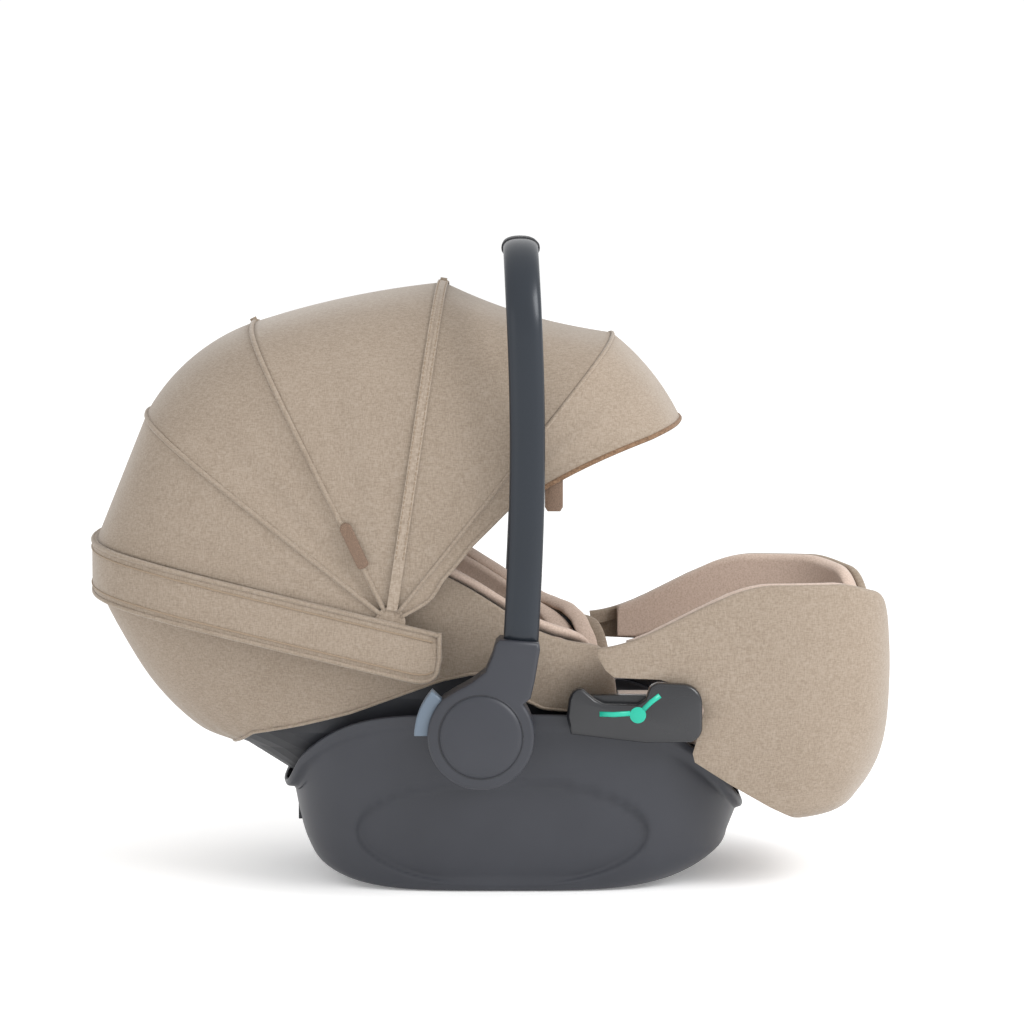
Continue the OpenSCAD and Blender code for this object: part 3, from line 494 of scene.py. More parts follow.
# ---- Hubs, caps and buttons ----------------------------------------------------------
# Each leg of the handle ends in a moulded hub that turns on the base. A round cap closes
# its outer face, and a grey thumb button stands out of its rear edge.
button_plastic = moulded("blue-grey ABS", "#5F6C7A", 0.38, 2.0, 0.02, "#6F7D8B")
hub_outline = arc(0, 155, 48.5, 135, 402, 60)[:-1]
hub_outline += [(45, 190), (48.5, 205), (53.5, 234), (52, 240.5), (17, 243.5), (13.5, 240), (10, 228),
                (4, 214), (-9, 204), (-22, 197)]
HUB_IN, HUB_OUT, SHADE_RING_R, SHADE_RING_Y = 172, 216, 38.2, 215.6
BUTTON_IN, BUTTON_OUT = 186.5, 209.5
for side, label in ((-1, "left"), (1, "right")):
    hub = outline_plate("hub_" + label, hub_outline, side * HUB_IN, side * HUB_OUT, 4.5, base_plastic, 5)
    fit(hub, "handle", "base_plastic", "hub_shell_" + label)
    # Cap: a shallow dome that is turned about the hub axis. The groove around it is drawn as painted shade:
    # a black ring, below.
    profile = [(0, 219.8), (12, 219.6), (24, 218.9), (33, 217.8), (36.4, 217.0), (37.4, 215.6),
               (37.7, 213.5)]
    bm = bmesh.new()
    rim = [bm.verts.new((r * MM, side * y * MM, 0)) for r, y in profile]
    edges = [bm.edges.new(pair) for pair in zip(rim, rim[1:])]
    bmesh.ops.spin(bm, geom=rim + edges, axis=(0, 1, 0), cent=(0, 0, 0), angle=2 * math.pi, steps=64,
                   use_merge=True)
    bmesh.ops.remove_doubles(bm, verts=bm.verts, dist=0.01 * MM)
    bmesh.ops.recalc_face_normals(bm, faces=bm.faces)
    if side * sum(f.normal.y for f in bm.faces) < 0:
        bmesh.ops.reverse_faces(bm, faces=bm.faces)
    bmesh.ops.translate(bm, verts=bm.verts, vec=HUB)
    cap = finish_mesh("hub_cap_" + label, bm, base_plastic)
    fit(cap, "handle", "base_plastic", "hub_caps")
    # A black ring is painted shade in the groove where the cap meets the hub.
    turns = [a * math.pi / 32 for a in range(65)]
    seam = tube("hub_shade_ring_" + label,
                [HUB + Vector((SHADE_RING_R * math.cos(a), side * SHADE_RING_Y, SHADE_RING_R * math.sin(a))) * MM
                 for a in turns], 0.8 * MM, black_plastic, 6)
    fit(seam, "handle", "black_plastic")
    button_outline = [(x, z + 155) for x, z in arc(0, 0, 45, 137, 180, 10) + arc(0, 0, 60.5, 180, 137, 10)]
    button = outline_plate("button_" + label, button_outline, side * BUTTON_IN, side * BUTTON_OUT, 2.5,
                           button_plastic, 4)
    fit(button, "handle_button_" + label, "grey_button", "handle_button_" + label)

# ---- Back section: cover over its shell ----------------------------------------------
# The reclining shell is wrapped in heathered woven polyester over 3 mm of wadding, pulled
# under its edge and clipped. Black shell shows below the hem.
def woven(name, pale, mid, dark, thread_mm, bump_mm=0.25, sheen=0.25, mottle=0.35, slub=5.0):
    """Heathered weave: warp and weft threads dyed unevenly, with longer slubs along them.
    Threads are really 0.5 mm; they are drawn wider so that they show."""
    material, tree, surface = new_material(name, Roughness=0.92, Sheen_Weight=sheen, Sheen_Roughness=0.45,
                                           Specular_IOR_Level=0.25)
    place = add_node(tree, "TexCoord").outputs["Object"]
    fine, long = 1000 / thread_mm, 1000 / thread_mm / slub
    weft = add_node(tree, "TexNoise", {"Vector": add_node(tree, "Mapping", {"Vector": place, "Scale": (
        long, long, fine)}).outputs["Vector"], "Scale": 1.0, "Detail": 2.0})
    warp = add_node(tree, "TexNoise", {"Vector": add_node(tree, "Mapping", {"Vector": place, "Scale": (
        fine, fine, long)}).outputs["Vector"], "Scale": 1.0, "Detail": 2.0})
    both = add_node(tree, "Math", {0: weft.outputs["Fac"], 1: warp.outputs["Fac"]}, operation="ADD")
    cloud = add_node(tree, "TexNoise", {"Vector": place, "Scale": 22.0, "Detail": 2.0})
    drift = add_node(tree, "Math", {0: cloud.outputs["Fac"], 1: mottle, 2: both.outputs["Value"]},
                     operation="MULTIPLY_ADD")
    shade = add_node(tree, "MapRange", {"Value": drift.outputs["Value"], "From Min": 0.74 + mottle / 2,
                                        "From Max": 1.26 + mottle / 2})
    tint = add_node(tree, "ValToRGB", {"Fac": shade.outputs["Result"]})
    ramp = tint.color_ramp
    ramp.elements[0].color, ramp.elements[1].color = linear(dark), linear(pale)
    middle = ramp.elements.new(0.5)
    middle.color = linear(mid)
    bump = add_node(tree, "Bump", {"Height": both.outputs["Value"], "Strength": 0.55,
                                   "Distance": bump_mm * MM})
    link_up(tree, surface, tint, bump)
    return material


oatmeal = woven("heathered oatmeal polyester weave", "#9D9082", "#948677", "#897B6C", 1.0, 0.2, 0.25,
                0.2, 4.0)
knit = woven("brushed pinkish tan knit", "#C8B5A8", "#BFAB9D", "#B39F91", 1.2, 0.1, 0.4, 0.12, 1.6)
trim_brown = woven("brown grosgrain binding", "#8A6F58", "#7A604B", "#66503E", 1.2, 0.2, 0.1, 0.2, 2.5)

# From the middle of the floor to the rim: how far out, and how far up.
back_levels = [(0, 0), (0.16, 0.12), (0.38, 0.25), (0.58, 0.33), (0.76, 0.49), (0.9, 0.69), (1, 0.88),
               (1, 1)]


def back_rim(x, y):
    side = 300 - 76 * ease(-70, 104, x)
    dip = ease(30, 98, x) * (1 - ease(0.45, 0.8, abs(y) / 156))
    return lerp(side, 150, dip)


def back_point(theta, level, inset=0.0, floor=None):
    spread, rise = along(back_levels, min(max(level, 0), 1))
    c, s = superellipse(theta, 2.6, 5)
    x = lerp(-45, -126, spread) + (lerp(105, 238, spread) - inset) * c
    y = (lerp(90, 156, spread) - inset) * s
    z = lerp(66 + inset, back_rim(x, y), rise)
    # The soft front end reaches 18 mm past the shell, up to the leg section.
    x += 18 * ease(50, 112, x) * ease(0.3, 0.8, rise)
    return Vector((x, y, z if floor is None else max(z, floor))) * MM


hem_line = [(-400, 120), (-240, 126), (-213, 145), (-167, 155), (-121, 167), (-75, 184), (-38, 198),
            (-6, 205), (12, 200), (32, 184), (56, 171), (90, 166), (130, 164)]


def by_table(table, x):
    for (x0, y0), (x1, y1) in zip(table, table[1:]):
        if x <= x1:
            return lerp(y0, y1, max(0, (x - x0) / (x1 - x0)))
    return table[-1][1]


def hem_level(theta):
    low, high = 0.0, 0.93
    for _ in range(24):
        mid = (low + high) / 2
        p = back_point(theta, mid)
        if p.z < by_table(hem_line, p.x / MM) * MM:
            low = mid
        else:
            high = mid
    return low


hems = [hem_level(2 * math.pi * i / 240) for i in range(241)]


def cover_place(u, v):
    theta = 2 * math.pi * u
    start = hems[round(u * 240)]
    if v < 0.8:
        p = back_point(theta, lerp(start, 1, v / 0.8))
        # The cloth is drawn in a little between its clips, and puckers softly near the hem.
        p.z += 0.6 * MM * math.sin(theta * 34) * (1 - v / 0.8) ** 3
        return p
    turn = min(1, (v - 0.8) / 0.12)
    p = back_point(theta, 1, 4 - 4 * math.cos(math.pi * turn))
    p.z += (4 * math.sin(math.pi * turn) - 12 * max(0, (v - 0.92) / 0.08)) * MM
    return p


cover = skin("back_cover_cloth", 240, 56, cover_place, oatmeal)
thicken(cover, 2.0 * MM, -1.0)
hem = tube("back_cover_hem", [back_point(2 * math.pi * i / 240, hems[i]) for i in range(241)], 1.7 * MM,
           oatmeal, 8)
for piece in (cover, hem):
    fit(piece, "backrest", "woven_fabric")
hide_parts("back_cover")

# ---- Body pad, liner and padded rim --------------------------------------------------
# A foam tub of expanded polypropylene beads carries a quilted knit pad. A soft padded
# rim is sewn along the pad's top edge.
foam, tree, surface = new_material("charcoal expanded polypropylene", Roughness=0.85,
                                   Specular_IOR_Level=0.3)
place = add_node(tree, "TexCoord").outputs["Object"]
# The beads fuse into cells about 4 mm across.
beads = add_node(tree, "TexVoronoi", {"Vector": place, "Scale": 250.0}, feature="DISTANCE_TO_EDGE")
tint = add_node(tree, "ValToRGB", {"Fac": beads.outputs["Distance"]}, stops=("#2E2F31", "#4C4D50"))
tint.color_ramp.elements[1].position = 0.2
bump = add_node(tree, "Bump", {"Height": beads.outputs["Distance"], "Strength": 0.4, "Distance": 0.3 * MM})
link_up(tree, surface, tint, bump)
dress(["back_liner"], foam)

PAD_OUT, PAD_IN, PAD_FLOOR, LIE = 16.6, 31, 146.6, 161


def channels(x, y):
    """Depth of the sewn channels that divide the pad into cushions, in mm."""
    depth = 0
    for line in (-232, -150, -60, 30):
        across = math.exp(-((x - line - 0.0006 * y * y) / 5) ** 2)
        depth = max(depth, 5 * across * (1 - ease(96, 118, abs(y))))
    lengthwise = math.exp(-((abs(y) - 72 - 0.00012 * (x + 60) ** 2) / 5) ** 2)
    return max(depth, 5 * lengthwise * (1 - ease(40, 70, x)))


def body_pad_place(u, v):
    theta = 2 * math.pi * u
    if v < 0.1:
        # The underside is flat: it runs in to one point at its middle.
        return Vector((-0.045, 0, PAD_FLOOR * MM)).lerp(back_point(theta, 0, PAD_OUT, PAD_FLOOR), v / 0.1)
    if v < 0.4:
        return back_point(theta, (v - 0.1) / 0.3 * 0.985, PAD_OUT, PAD_FLOOR)
    if v < 0.5:
        turn = (v - 0.4) / 0.1
        p = back_point(theta, 0.985, lerp(PAD_OUT, PAD_IN, (1 - math.cos(math.pi * turn)) / 2))
        p.z += 6 * math.sin(math.pi * turn) * MM
        return p
    t = (v - 0.5) / 0.5
    if t < 0.6:
        p = back_point(theta, 0.985 * (1 - t / 0.6), PAD_IN, LIE)
    else:
        p = back_point(theta, 0, PAD_IN, LIE).lerp(Vector((-0.045, 0, LIE * MM)), (t - 0.6) / 0.4)
    flat = 1 - ease(LIE, LIE + 30, p.z / MM)
    p.z -= channels(p.x / MM, p.y / MM) * MM * flat
    return p


body_pad = skin("body_pad", 200, 170, body_pad_place, knit)
fit(body_pad, "backrest", "knit_pad", "back_pad")


def rim_place(u, v):
    theta, turn = 2 * math.pi * u, 2 * math.pi * v
    centre = back_point(theta, 1, 13)
    side = back_point(theta, 1, 3) - centre
    side.z = 0
    side.normalize()
    pucker = 1 + 0.05 * math.sin(theta * 46) * math.cos(turn)
    return centre + side * (9.5 * math.cos(turn) * pucker * MM) + Vector((0, 0, (8.5 + 5.2 * math.sin(turn)
                                                                                  * pucker) * MM))


rim_roll = skin("padded_rim", 320, 18, rim_place, knit)
fit(rim_roll, "backrest", "knit_pad", "rim_pad")

# A knee apron of the same knit hangs from the pad's front edge and hides the gap to the
# leg section.
apron_line = [(121, 156), (128, 154), (132, 148), (132.5, 136), (131, 122)]


def apron_place(u, v):
    y = lerp(-100, 100, u)
    x, z = along(apron_line, v)
    edge = ease(70, 100, abs(y))
    return Vector((x - 6 * edge, y, z - 5 * edge + 1.2 * math.sin(u * 21) * v)) * MM


apron = skin("knee_apron", 60, 20, apron_place, knit)
thicken(apron, 2.0 * MM)
fit(apron, "backrest", "knit_pad")

# ---- Headrest ------------------------------------------------------------------------
# A newborn head hugger: a horseshoe of foam in brushed knit on a plastic board, which
# slides up the back section.
def head_point(theta, spread, rise, inner):
    x0, x1, half, f0, f1, fhalf, floor = ((-218, -120, 66, -198, -138, 46, 186) if inner
                                          else (-244, -112, 96, -216, -126, 60, 172.5))
    c, s = superellipse(theta, 2.6, 3.2)
    x = lerp((f0 + f1) / 2, (x0 + x1) / 2, spread) + lerp((f1 - f0) / 2, (x1 - x0) / 2, spread) * c
    y = lerp(fhalf, half, spread) * s
    top = 246 + 16 * ease(-200, -300, x) - 34 * ease(-175, -112, x)
    return Vector((x, y, lerp(floor, top, rise))) * MM


def headrest_place(u, v):
    theta = 2 * math.pi * u
    if v < 0.08:
        return Vector((-0.171, 0, 172.5 * MM)).lerp(head_point(theta, 0, 0, False), v / 0.08)
    if v > 0.9:
        return head_point(theta, 0, 0, True).lerp(Vector((-0.168, 0, 186 * MM)), (v - 0.9) / 0.1)
    if v < 0.45:
        spread, rise = along([(0, 0), (0.4, 0.0), (0.8, 0.12), (0.97, 0.5), (0.98, 0.86)],
                             (v - 0.08) / 0.37)
        return head_point(theta, spread, rise, False)
    if v < 0.6:
        turn = (v - 0.45) / 0.15
        a, b = head_point(theta, 0.98, 0.86, False), head_point(theta, 1, 0.84, True)
        p = a.lerp(b, (1 - math.cos(math.pi * turn)) / 2)
        p.z += 9 * math.sin(math.pi * turn) * MM
        return p
    spread, rise = along([(1, 0.84), (0.97, 0.4), (0.8, 0.1), (0.4, 0), (0, 0)], (v - 0.6) / 0.3)
    return head_point(theta, spread, rise, True)


def puff(piece, cap_mm, pressure=4.0, voxel_mm=4.0):
    """Blows a pad up like a stuffed cover, from a slightly smaller shape: its walls crown
    between the edges, and no point moves further than the cap."""
    shrink = piece.modifiers.new("shrink", "DISPLACE")
    shrink.strength, shrink.mid_level = -cap_mm / 2 * MM, 0.0
    grid = piece.modifiers.new("grid", "REMESH")
    grid.mode, grid.voxel_size, grid.use_smooth_shade = "VOXEL", voxel_mm * MM, True
    settle(piece)
    start = [vert.co.copy() for vert in piece.data.vertices]
    cloth = piece.modifiers.new("cloth", "CLOTH")
    cloth.settings.use_pressure, cloth.settings.uniform_pressure_force = True, pressure
    cloth.settings.effector_weights.gravity = 0
    cloth.point_cache.frame_start, cloth.point_cache.frame_end = 1, 20
    for frame_number in range(1, 21):
        scene.frame_set(frame_number)
    settle(piece)
    for vert, home in zip(piece.data.vertices, start):
        moved = vert.co - home
        if moved.length > cap_mm * MM:
            vert.co = home + moved.normalized() * cap_mm * MM
    scene.frame_set(1)
    finer = piece.modifiers.new("finer", "SUBSURF")
    finer.levels = finer.render_levels = 1
    settle(piece)
    piece.data.shade_smooth()
    return piece


headrest = puff(skin("headrest_pad", 140, 80, headrest_place, knit), 5)
fit(headrest, "headrest", "knit_pad", "headrest_cushion")

# ---- Canopy cloth --------------------------------------------------------------------
# Five gores of the same woven polyester, sewn together over four sprung bows and pulled
# straight between them. The rear gore is sewn to the band; the front one is the visor.
PIVOT = Vector([j for j in frame["joints"] if j["name"] == "canopy_a_fold"][0]["pos_m"])
HALF_W = 173
half_arch = [(0.035, -1), (0.18, -1.004), (0.34, -1.004), (0.48, -1.0), (0.6, -0.99), (0.71, -0.965),
             (0.8, -0.92), (0.87, -0.855), (0.92, -0.77), (0.955, -0.66), (0.977, -0.52), (0.99, -0.36),
             (0.998, -0.18), (1, 0)]
arch = half_arch + [(r, -y) for r, y in reversed(half_arch[:-1])]
# Bows: name, angle from +X towards +Z, radius, half width.
bows = {"rear": (166.5, 289, 172), "a": (141.5, 298, HALF_W), "b": (116.5, 299.5, HALF_W),
        "c": (81.5, 309, HALF_W + 1.5), "d": (51.3, 330, HALF_W + 3)}
# The visor's free edge: radius from the pivot, then its angle.
front_edge = [(0, 26), (40, 29), (60, 39), (100, 43.5), (150, 44), (190, 41), (240, 38), (290, 35),
              (330, 33.2)]


def in_bow(angle, r, y):
    a = math.radians(angle)
    return PIVOT + Vector((r * math.cos(a), y, r * math.sin(a))) * MM


def bow_point(bow, t, lift=0.0):
    angle, radius, half = bows[bow]
    r, y = along(arch, t)
    steep = abs(y) ** 3
    return in_bow(angle, r * radius + lift * (1 - steep), y * half + math.copysign(lift * steep, y))


def gore(name, rear, front, sag, weights):
    """One gore of cloth between two bows: sag is how far its middle dips, or bellies out."""
    def place(u, v):
        a, b = bow_point(rear, u), bow_point(front, u) if front else visor_edge(u)
        p = a.lerp(b, v)
        r, y = along(arch, u)
        steep = abs(y) ** 3
        dip = sag * 4 * v * (1 - v) * (1 - 0.3 * steep)
        # Soft drag lines run out from the pivot.
        drag = 0.7 * math.sin(v * math.pi * 4 + 1.1) * math.sin(math.pi * v) * steep * ease(0.1, 0.5, r)
        spoke = Vector((p.x - PIVOT.x, 0, p.z - PIVOT.z)).normalized()
        return (p - spoke * dip * (1 - steep) * MM
                - Vector((0, math.copysign(dip * 0.45 * steep + drag, y), 0)) * MM)
    piece = skin(name, 132, 28, place, oatmeal)
    wide = (bow_point(rear, 0.5) - (bow_point(front, 0.5) if front else visor_edge(0.5))).length
    arch_len = sum((bow_point(rear, (i + 1) / 60) - bow_point(rear, i / 60)).length for i in range(60))
    thicken(piece, 1.2 * MM)
    if weights:
        start, end = bow_point(rear, 0.5), bow_point(front, 0.5)
        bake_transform(piece, weights[0], weights[1], start=start, end=end)
        a0, a1 = bows[rear][0], bows[front][0]
        weight = piece.data.attributes["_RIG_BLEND"].data
        for i, vert in enumerate(piece.data.vertices):
            angle = math.degrees(math.atan2(vert.co.z - PIVOT.z, vert.co.x - PIVOT.x))
            weight[i].value = min(1, max(0, (a0 - angle) / (a0 - a1)))
    else:
        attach(piece, "canopy_d")
    return piece


def visor_edge(t, lift=0.0):
    r, y = along(arch, t)
    radius = r * 324
    steep = abs(y) ** 3
    return in_bow(by_table(front_edge, radius), radius + lift * (1 - steep),
                  y * (HALF_W + 2.5) + math.copysign(lift * steep, y))


gores = [("rear", "a", 0, ("backrest", "canopy_a"), "canopy_rear"),
         ("a", "b", -12, ("canopy_a", "canopy_b"), "panel_ab"),
         ("b", "c", -5, ("canopy_b", "canopy_c"), "panel_bc"),
         ("c", "d", 7, ("canopy_c", "canopy_d"), "panel_cd"),
         ("d", None, -6, None, "visor")]
sleeve_body = {"a": "canopy_a", "b": "canopy_b", "c": "canopy_c", "d": "canopy_d"}

# Each bow is a sprung plastic strip in a sewn sleeve. The seam stands up as a narrow
# ridge of cloth with a row of stitches beside it; the third bow has a flat tape over it.
thread_tan, tree, surface = new_material("tan polyester thread", Roughness=0.7, Sheen_Weight=0.1)
place = add_node(tree, "TexCoord").outputs["Object"]
# The thread is twisted from plies 0.6 mm apart.
plies = add_node(tree, "TexNoise", {"Vector": place, "Scale": 1700.0, "Detail": 1.0})
tint = add_node(tree, "ValToRGB", {"Fac": plies.outputs["Fac"]}, stops=("#7E6C58", "#9E8B75"))
link_up(tree, surface, tint)
tape_cloth = woven("oatmeal herringbone tape", "#A6988A", "#9C8E7F", "#8E8071", 1.3, 0.25, 0.25, 0.1, 3.0)
for bow, ridge in (("a", 2.4), ("b", 2.4), ("c", 1.8), ("d", 1.9)):
    path = [bow_point(bow, i / 120, 0.6) for i in range(121)]
    sleeve = tube("bow_sleeve_" + bow, path, ridge * MM, oatmeal, 10)
    fit(sleeve, sleeve_body[bow], "woven_fabric", "rib_" + bow)
    if bow == "c":
        def tape_place(u, v):
            p = bow_point("c", v, 1.9)
            a = math.radians(bows["c"][0])
            return p + Vector((-math.sin(a), 0, math.cos(a))) * (u - 0.5) * 10 * MM
        tape = skin("canopy_tape", 6, 120, tape_place, tape_cloth)
        thicken(tape, 1.0 * MM, 0, 0.3 * MM)
        fit(tape, "canopy_c", "woven_fabric")
    if bow in "bc":
        nub = tube("bow_nub_" + bow, [bow_point(bow, 0.5, h) for h in (-2, 2, 5)], 3.4 * MM, oatmeal,
                   10, 0.7)
        fit(nub, sleeve_body[bow], "woven_fabric")

for rear, front, sag, weights, node in gores:
    cloth = gore("canopy_gore_" + rear, rear, front, sag, weights)
    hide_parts(node)


STITCH_STEP, STITCH_LONG, STITCH_WIDE, STITCH_HIGH = 4.6, 3.0, 0.9, 0.8


def stitch_row(name, points, outward, body):
    """A row of lockstitches: small pillows of thread laid end to end along a seam."""
    bm = bmesh.new()
    gone = 0.0
    for p, q, n in zip(points, points[1:], outward):
        run = q - p
        while gone < run.length:
            at = p + run.normalized() * gone
            made = bmesh.ops.create_cube(bm, size=1.0)["verts"]
            ahead = run.normalized()
            side = ahead.cross(n).normalized()
            for vert in made:
                x, y, z = vert.co
                vert.co = at + (ahead * x * STITCH_LONG + side * y * STITCH_WIDE
                                + n * z * STITCH_HIGH) * MM
            gone += STITCH_STEP * MM
        gone -= run.length
    bmesh.ops.bevel(bm, geom=bm.edges[:], offset=0.25 * MM, offset_type="OFFSET", segments=1, profile=0.5,
                    affect="EDGES", clamp_overlap=True, material=-1)
    fit(finish_mesh(name, bm, thread_tan), body, "woven_fabric")


def bow_stitches(name, bow, offset, body, lift):
    """Stitches that run beside a bow, offset across it in mm."""
    a = math.radians(bows[bow][0])
    beside = Vector((-math.sin(a), 0, math.cos(a))) * offset * MM
    spoke = Vector((math.cos(a), 0, math.sin(a)))
    points, outward = [], []
    for i in range(5, 116):
        r, y = along(arch, i / 120)
        points.append(bow_point(bow, i / 120, lift) + beside)
        sideways = Vector((0, math.copysign(abs(y) ** 3, y), 0))
        outward.append((spoke * (1 - abs(y) ** 3) + sideways).normalized())
    stitch_row(name, points, outward, body)


bow_stitches("stitches_c_front", "c", -3.4, "canopy_c", 2.5)
bow_stitches("stitches_c_rear", "c", 3.4, "canopy_c", 2.5)

# The visor's free edge is bound with brown grosgrain, folded over the cloth.
binding = tube("visor_binding", [visor_edge(0.14 + 0.72 * i / 120) for i in range(121)], 2.3 * MM,
               trim_brown, 10)
lower = [tube("visor_hem_" + n, [visor_edge(lerp(a, b, i / 30)) for i in range(31)], 1.9 * MM, oatmeal,
              10)
         for n, a, b in (("near", 0.0, 0.142), ("far", 0.858, 1.0))]
for piece in [binding] + lower:
    fit(piece, "canopy_d", "woven_fabric")

# ---- Band ----------------------------------------------------------------------------
# A padded band of the same cloth runs around the head end at the foot of the canopy. It
# is sewn to the back cover, with a piped seam along its upper and lower edges.
BAND_A, BAND_H = 166.5, 50
band_arch = [(-0.16, -1.0), (-0.06, -1.004)] + [p for p in half_arch[1:]]
band_arch += [(r, -y) for r, y in reversed(band_arch[:-1])]


def band_line(t, down, out_mm):
    r, y = along(band_arch, t)
    steep = min(1, abs(y) ** 3)
    a = math.radians(BAND_A)
    spoke = Vector((math.cos(a), 0, math.sin(a)))
    p = PIVOT + spoke * (r * 289 + out_mm * (1 - steep)) * MM
    p.y = (y * 173.5 + math.copysign(out_mm * steep, y)) * MM
    # The rear hangs straight down; the front end is cut off square with a round corner.
    p.z -= down * MM
    return p


def band_depth(u):
    """How far the band hangs: its lower corners are rounded."""
    end = min(1, min(u, 1 - u) / 0.036)
    return 24 + (BAND_H - 24) * math.sqrt(max(0, 1 - (1 - end) ** 2))


def band_place(u, v):
    end = min(1, min(u, 1 - u) / 0.02)
    turn = 2 * math.pi * v
    c, s = math.cos(turn), math.sin(turn)
    down = band_depth(u) * (1 - math.copysign(abs(c) ** 0.45, c)) / 2 - 1
    fat = 4.6 * math.copysign(abs(s) ** 0.6, s) * max(0.3, end ** 0.5)
    return band_line(u, down, fat + 1.5)


band = skin("head_band", 220, 32, band_place, oatmeal)
fit(band, "backrest", "woven_fabric", "canopy_band")
# Piping runs along the upper edge, and round the ends and the lower edge in one piece.
lower_edge = [(0, 24 * i / 5) for i in range(5)] + [(i / 200, band_depth(i / 200)) for i in range(201)]
lower_edge += [(1, 24 * i / 5) for i in range(4, -1, -1)]
inner_run = [lerp(0.012, 0.988, i / 160) for i in range(161)]
turned_run = [lerp(0.012, 0.988, i / 200) for i in range(201)]
seams = (("upper", [(i / 160, 1.5) for i in range(161)], 2.0, 5.0, oatmeal),
         ("lower", [(u, down - 1.5) for u, down in lower_edge], 2.2, 4.4, oatmeal),
         ("inner", [(u, 8.5) for u in inner_run], 0.8, 6.2, thread_tan),
         ("turned", [(u, band_depth(u) - 8) for u in turned_run], 0.8, 6.2, thread_tan))
for label, line, thick, proud, material in seams:
    seam = tube("band_piping_" + label, [band_line(u, down, proud) for u, down in line], thick * MM,
                material, 8)
    fit(seam, "backrest", "woven_fabric")

# ---- Zip and front tab ---------------------------------------------------------------
# A zip opens the third gore for more shade. Its pull is a tongue of brown grained
# leatherette, riveted to a black slider; a tab of the same hangs inside the visor.
leatherette, tree, surface = new_material("brown grained leatherette", Roughness=0.55, Coat_Weight=0.1)
place = add_node(tree, "TexCoord").outputs["Object"]
# Grain cells are 0.9 mm across.
grain = add_node(tree, "TexVoronoi", {"Vector": place, "Scale": 1100.0}, feature="DISTANCE_TO_EDGE")
tint = add_node(tree, "ValToRGB", {"Fac": grain.outputs["Distance"]}, stops=("#5E4A3B", "#856B57"))
tint.color_ramp.elements[1].position = 0.3
bump = add_node(tree, "Bump", {"Height": grain.outputs["Distance"], "Strength": 0.5, "Distance": 0.2 * MM})
link_up(tree, surface, tint, bump)


def tongue(name, angle, r0, r1, wide, y, thick, material, body, replaced, slot):
    """A flat strap end with round corners, lying along a spoke of the canopy."""
    a = math.radians(angle)
    spoke, cross = (math.cos(a), math.sin(a)), (-math.sin(a), math.cos(a))
    outline = []
    for cr, cw, start in ((r1 - wide / 2, wide / 2, 0), (r0 + wide / 4, wide / 4, 180)):
        for i in range(9):
            turn = math.radians(start - 90 + i * 22.5)
            outline.append((cr + (wide / 2 if start == 0 else wide / 4) * math.cos(turn),
                            wide / 2 * math.sin(turn)))
    shape = [(PIVOT.x / MM + spoke[0] * r + cross[0] * w, PIVOT.z / MM + spoke[1] * r + cross[1] * w)
             for r, w in outline]
    piece = outline_plate(name, shape, y, y + thick, 0.6, material)
    return fit(piece, body, slot, replaced)


tongue("zip_tongue", 115, 55, 100, 11, -178.4, 2.2, leatherette, "zip", "zip_pull", "leatherette")
tab_outline = [(58, 392), (58, 360), (60.5, 356), (72, 356), (74.5, 360), (74.5, 396)]
tab = outline_plate("visor_tab", tab_outline, -171.4, -169.6, 0.6, leatherette)
fit(tab, "canopy_d", "leatherette", "front_tab")

# ---- Canopy pivots -------------------------------------------------------------------
# Riveted acetal studs inside the cloth carry the ends of the four bows.
STUD_IN, STUD_OUT, PATCH_IN, PATCH_OUT = 158, 166, 173.5, 175.5
for side, label in ((-1, "near"), (1, "far")):
    stud = outline_plate("canopy_stud_" + label, arc(PIVOT.x / MM, PIVOT.z / MM, 6, 0, 345, 23),
                         side * STUD_IN, side * STUD_OUT, 1.2, black_plastic)
    fit(stud, "backrest", "black_plastic", "canopy_pivots")
    # A round patch of the canopy cloth is sewn over the stud.
    patch = outline_plate("pivot_patch_" + label, arc(PIVOT.x / MM, PIVOT.z / MM, 14, 0, 350, 35),
                          side * PATCH_IN, side * PATCH_OUT, 0.9, oatmeal)
    fit(patch, "backrest", "woven_fabric")

# ---- Leg section ---------------------------------------------------------------------
# A moulded scoop on two steel arms, wrapped in the same woven cloth over wadding and
# lined with a soft knit pad. The cloth is cut away around the belt guides.
leg_levels = [(0, 0), (0.5, 0.035), (0.7, 0.14), (0.88, 0.33), (0.97, 0.55), (1, 0.84), (0.99, 1)]
LEG_OUT = (20, 385, 165, 120, 292, 124, 63)
LEG_IN = (20, 362, 146, 120, 302, 118, 130)


def leg_rim(x, y):
    side = 226 + 58 * ease(100, 270, x) - 12 * ease(328, 382, x)
    return side - 62 * ease(322, 362, x) * (1 - ease(0.3, 0.75, abs(y) / 165))


def leg_point(theta, level, shape=LEG_OUT, inset=0.0):
    x0, x1, half, f0, f1, fhalf, floor = shape
    spread, rise = along(leg_levels, min(max(level, 0), 1))
    c, s = superellipse(theta, 5, 4)
    middle, reach = lerp((f0 + f1) / 2, (x0 + x1) / 2, spread), lerp((f1 - f0) / 2, (x1 - x0) / 2, spread)
    x = middle + (reach - inset) * c
    y = (lerp(fhalf, half, spread) - inset) * s
    # The lining's rim stands as high as the cover's rim beside it.
    rim = leg_rim(x, y) if shape is LEG_OUT else leg_rim(x + 18 * c * spread, y + 18 * s * spread)
    return Vector((x, y, lerp(floor + inset, rim, rise))) * MM


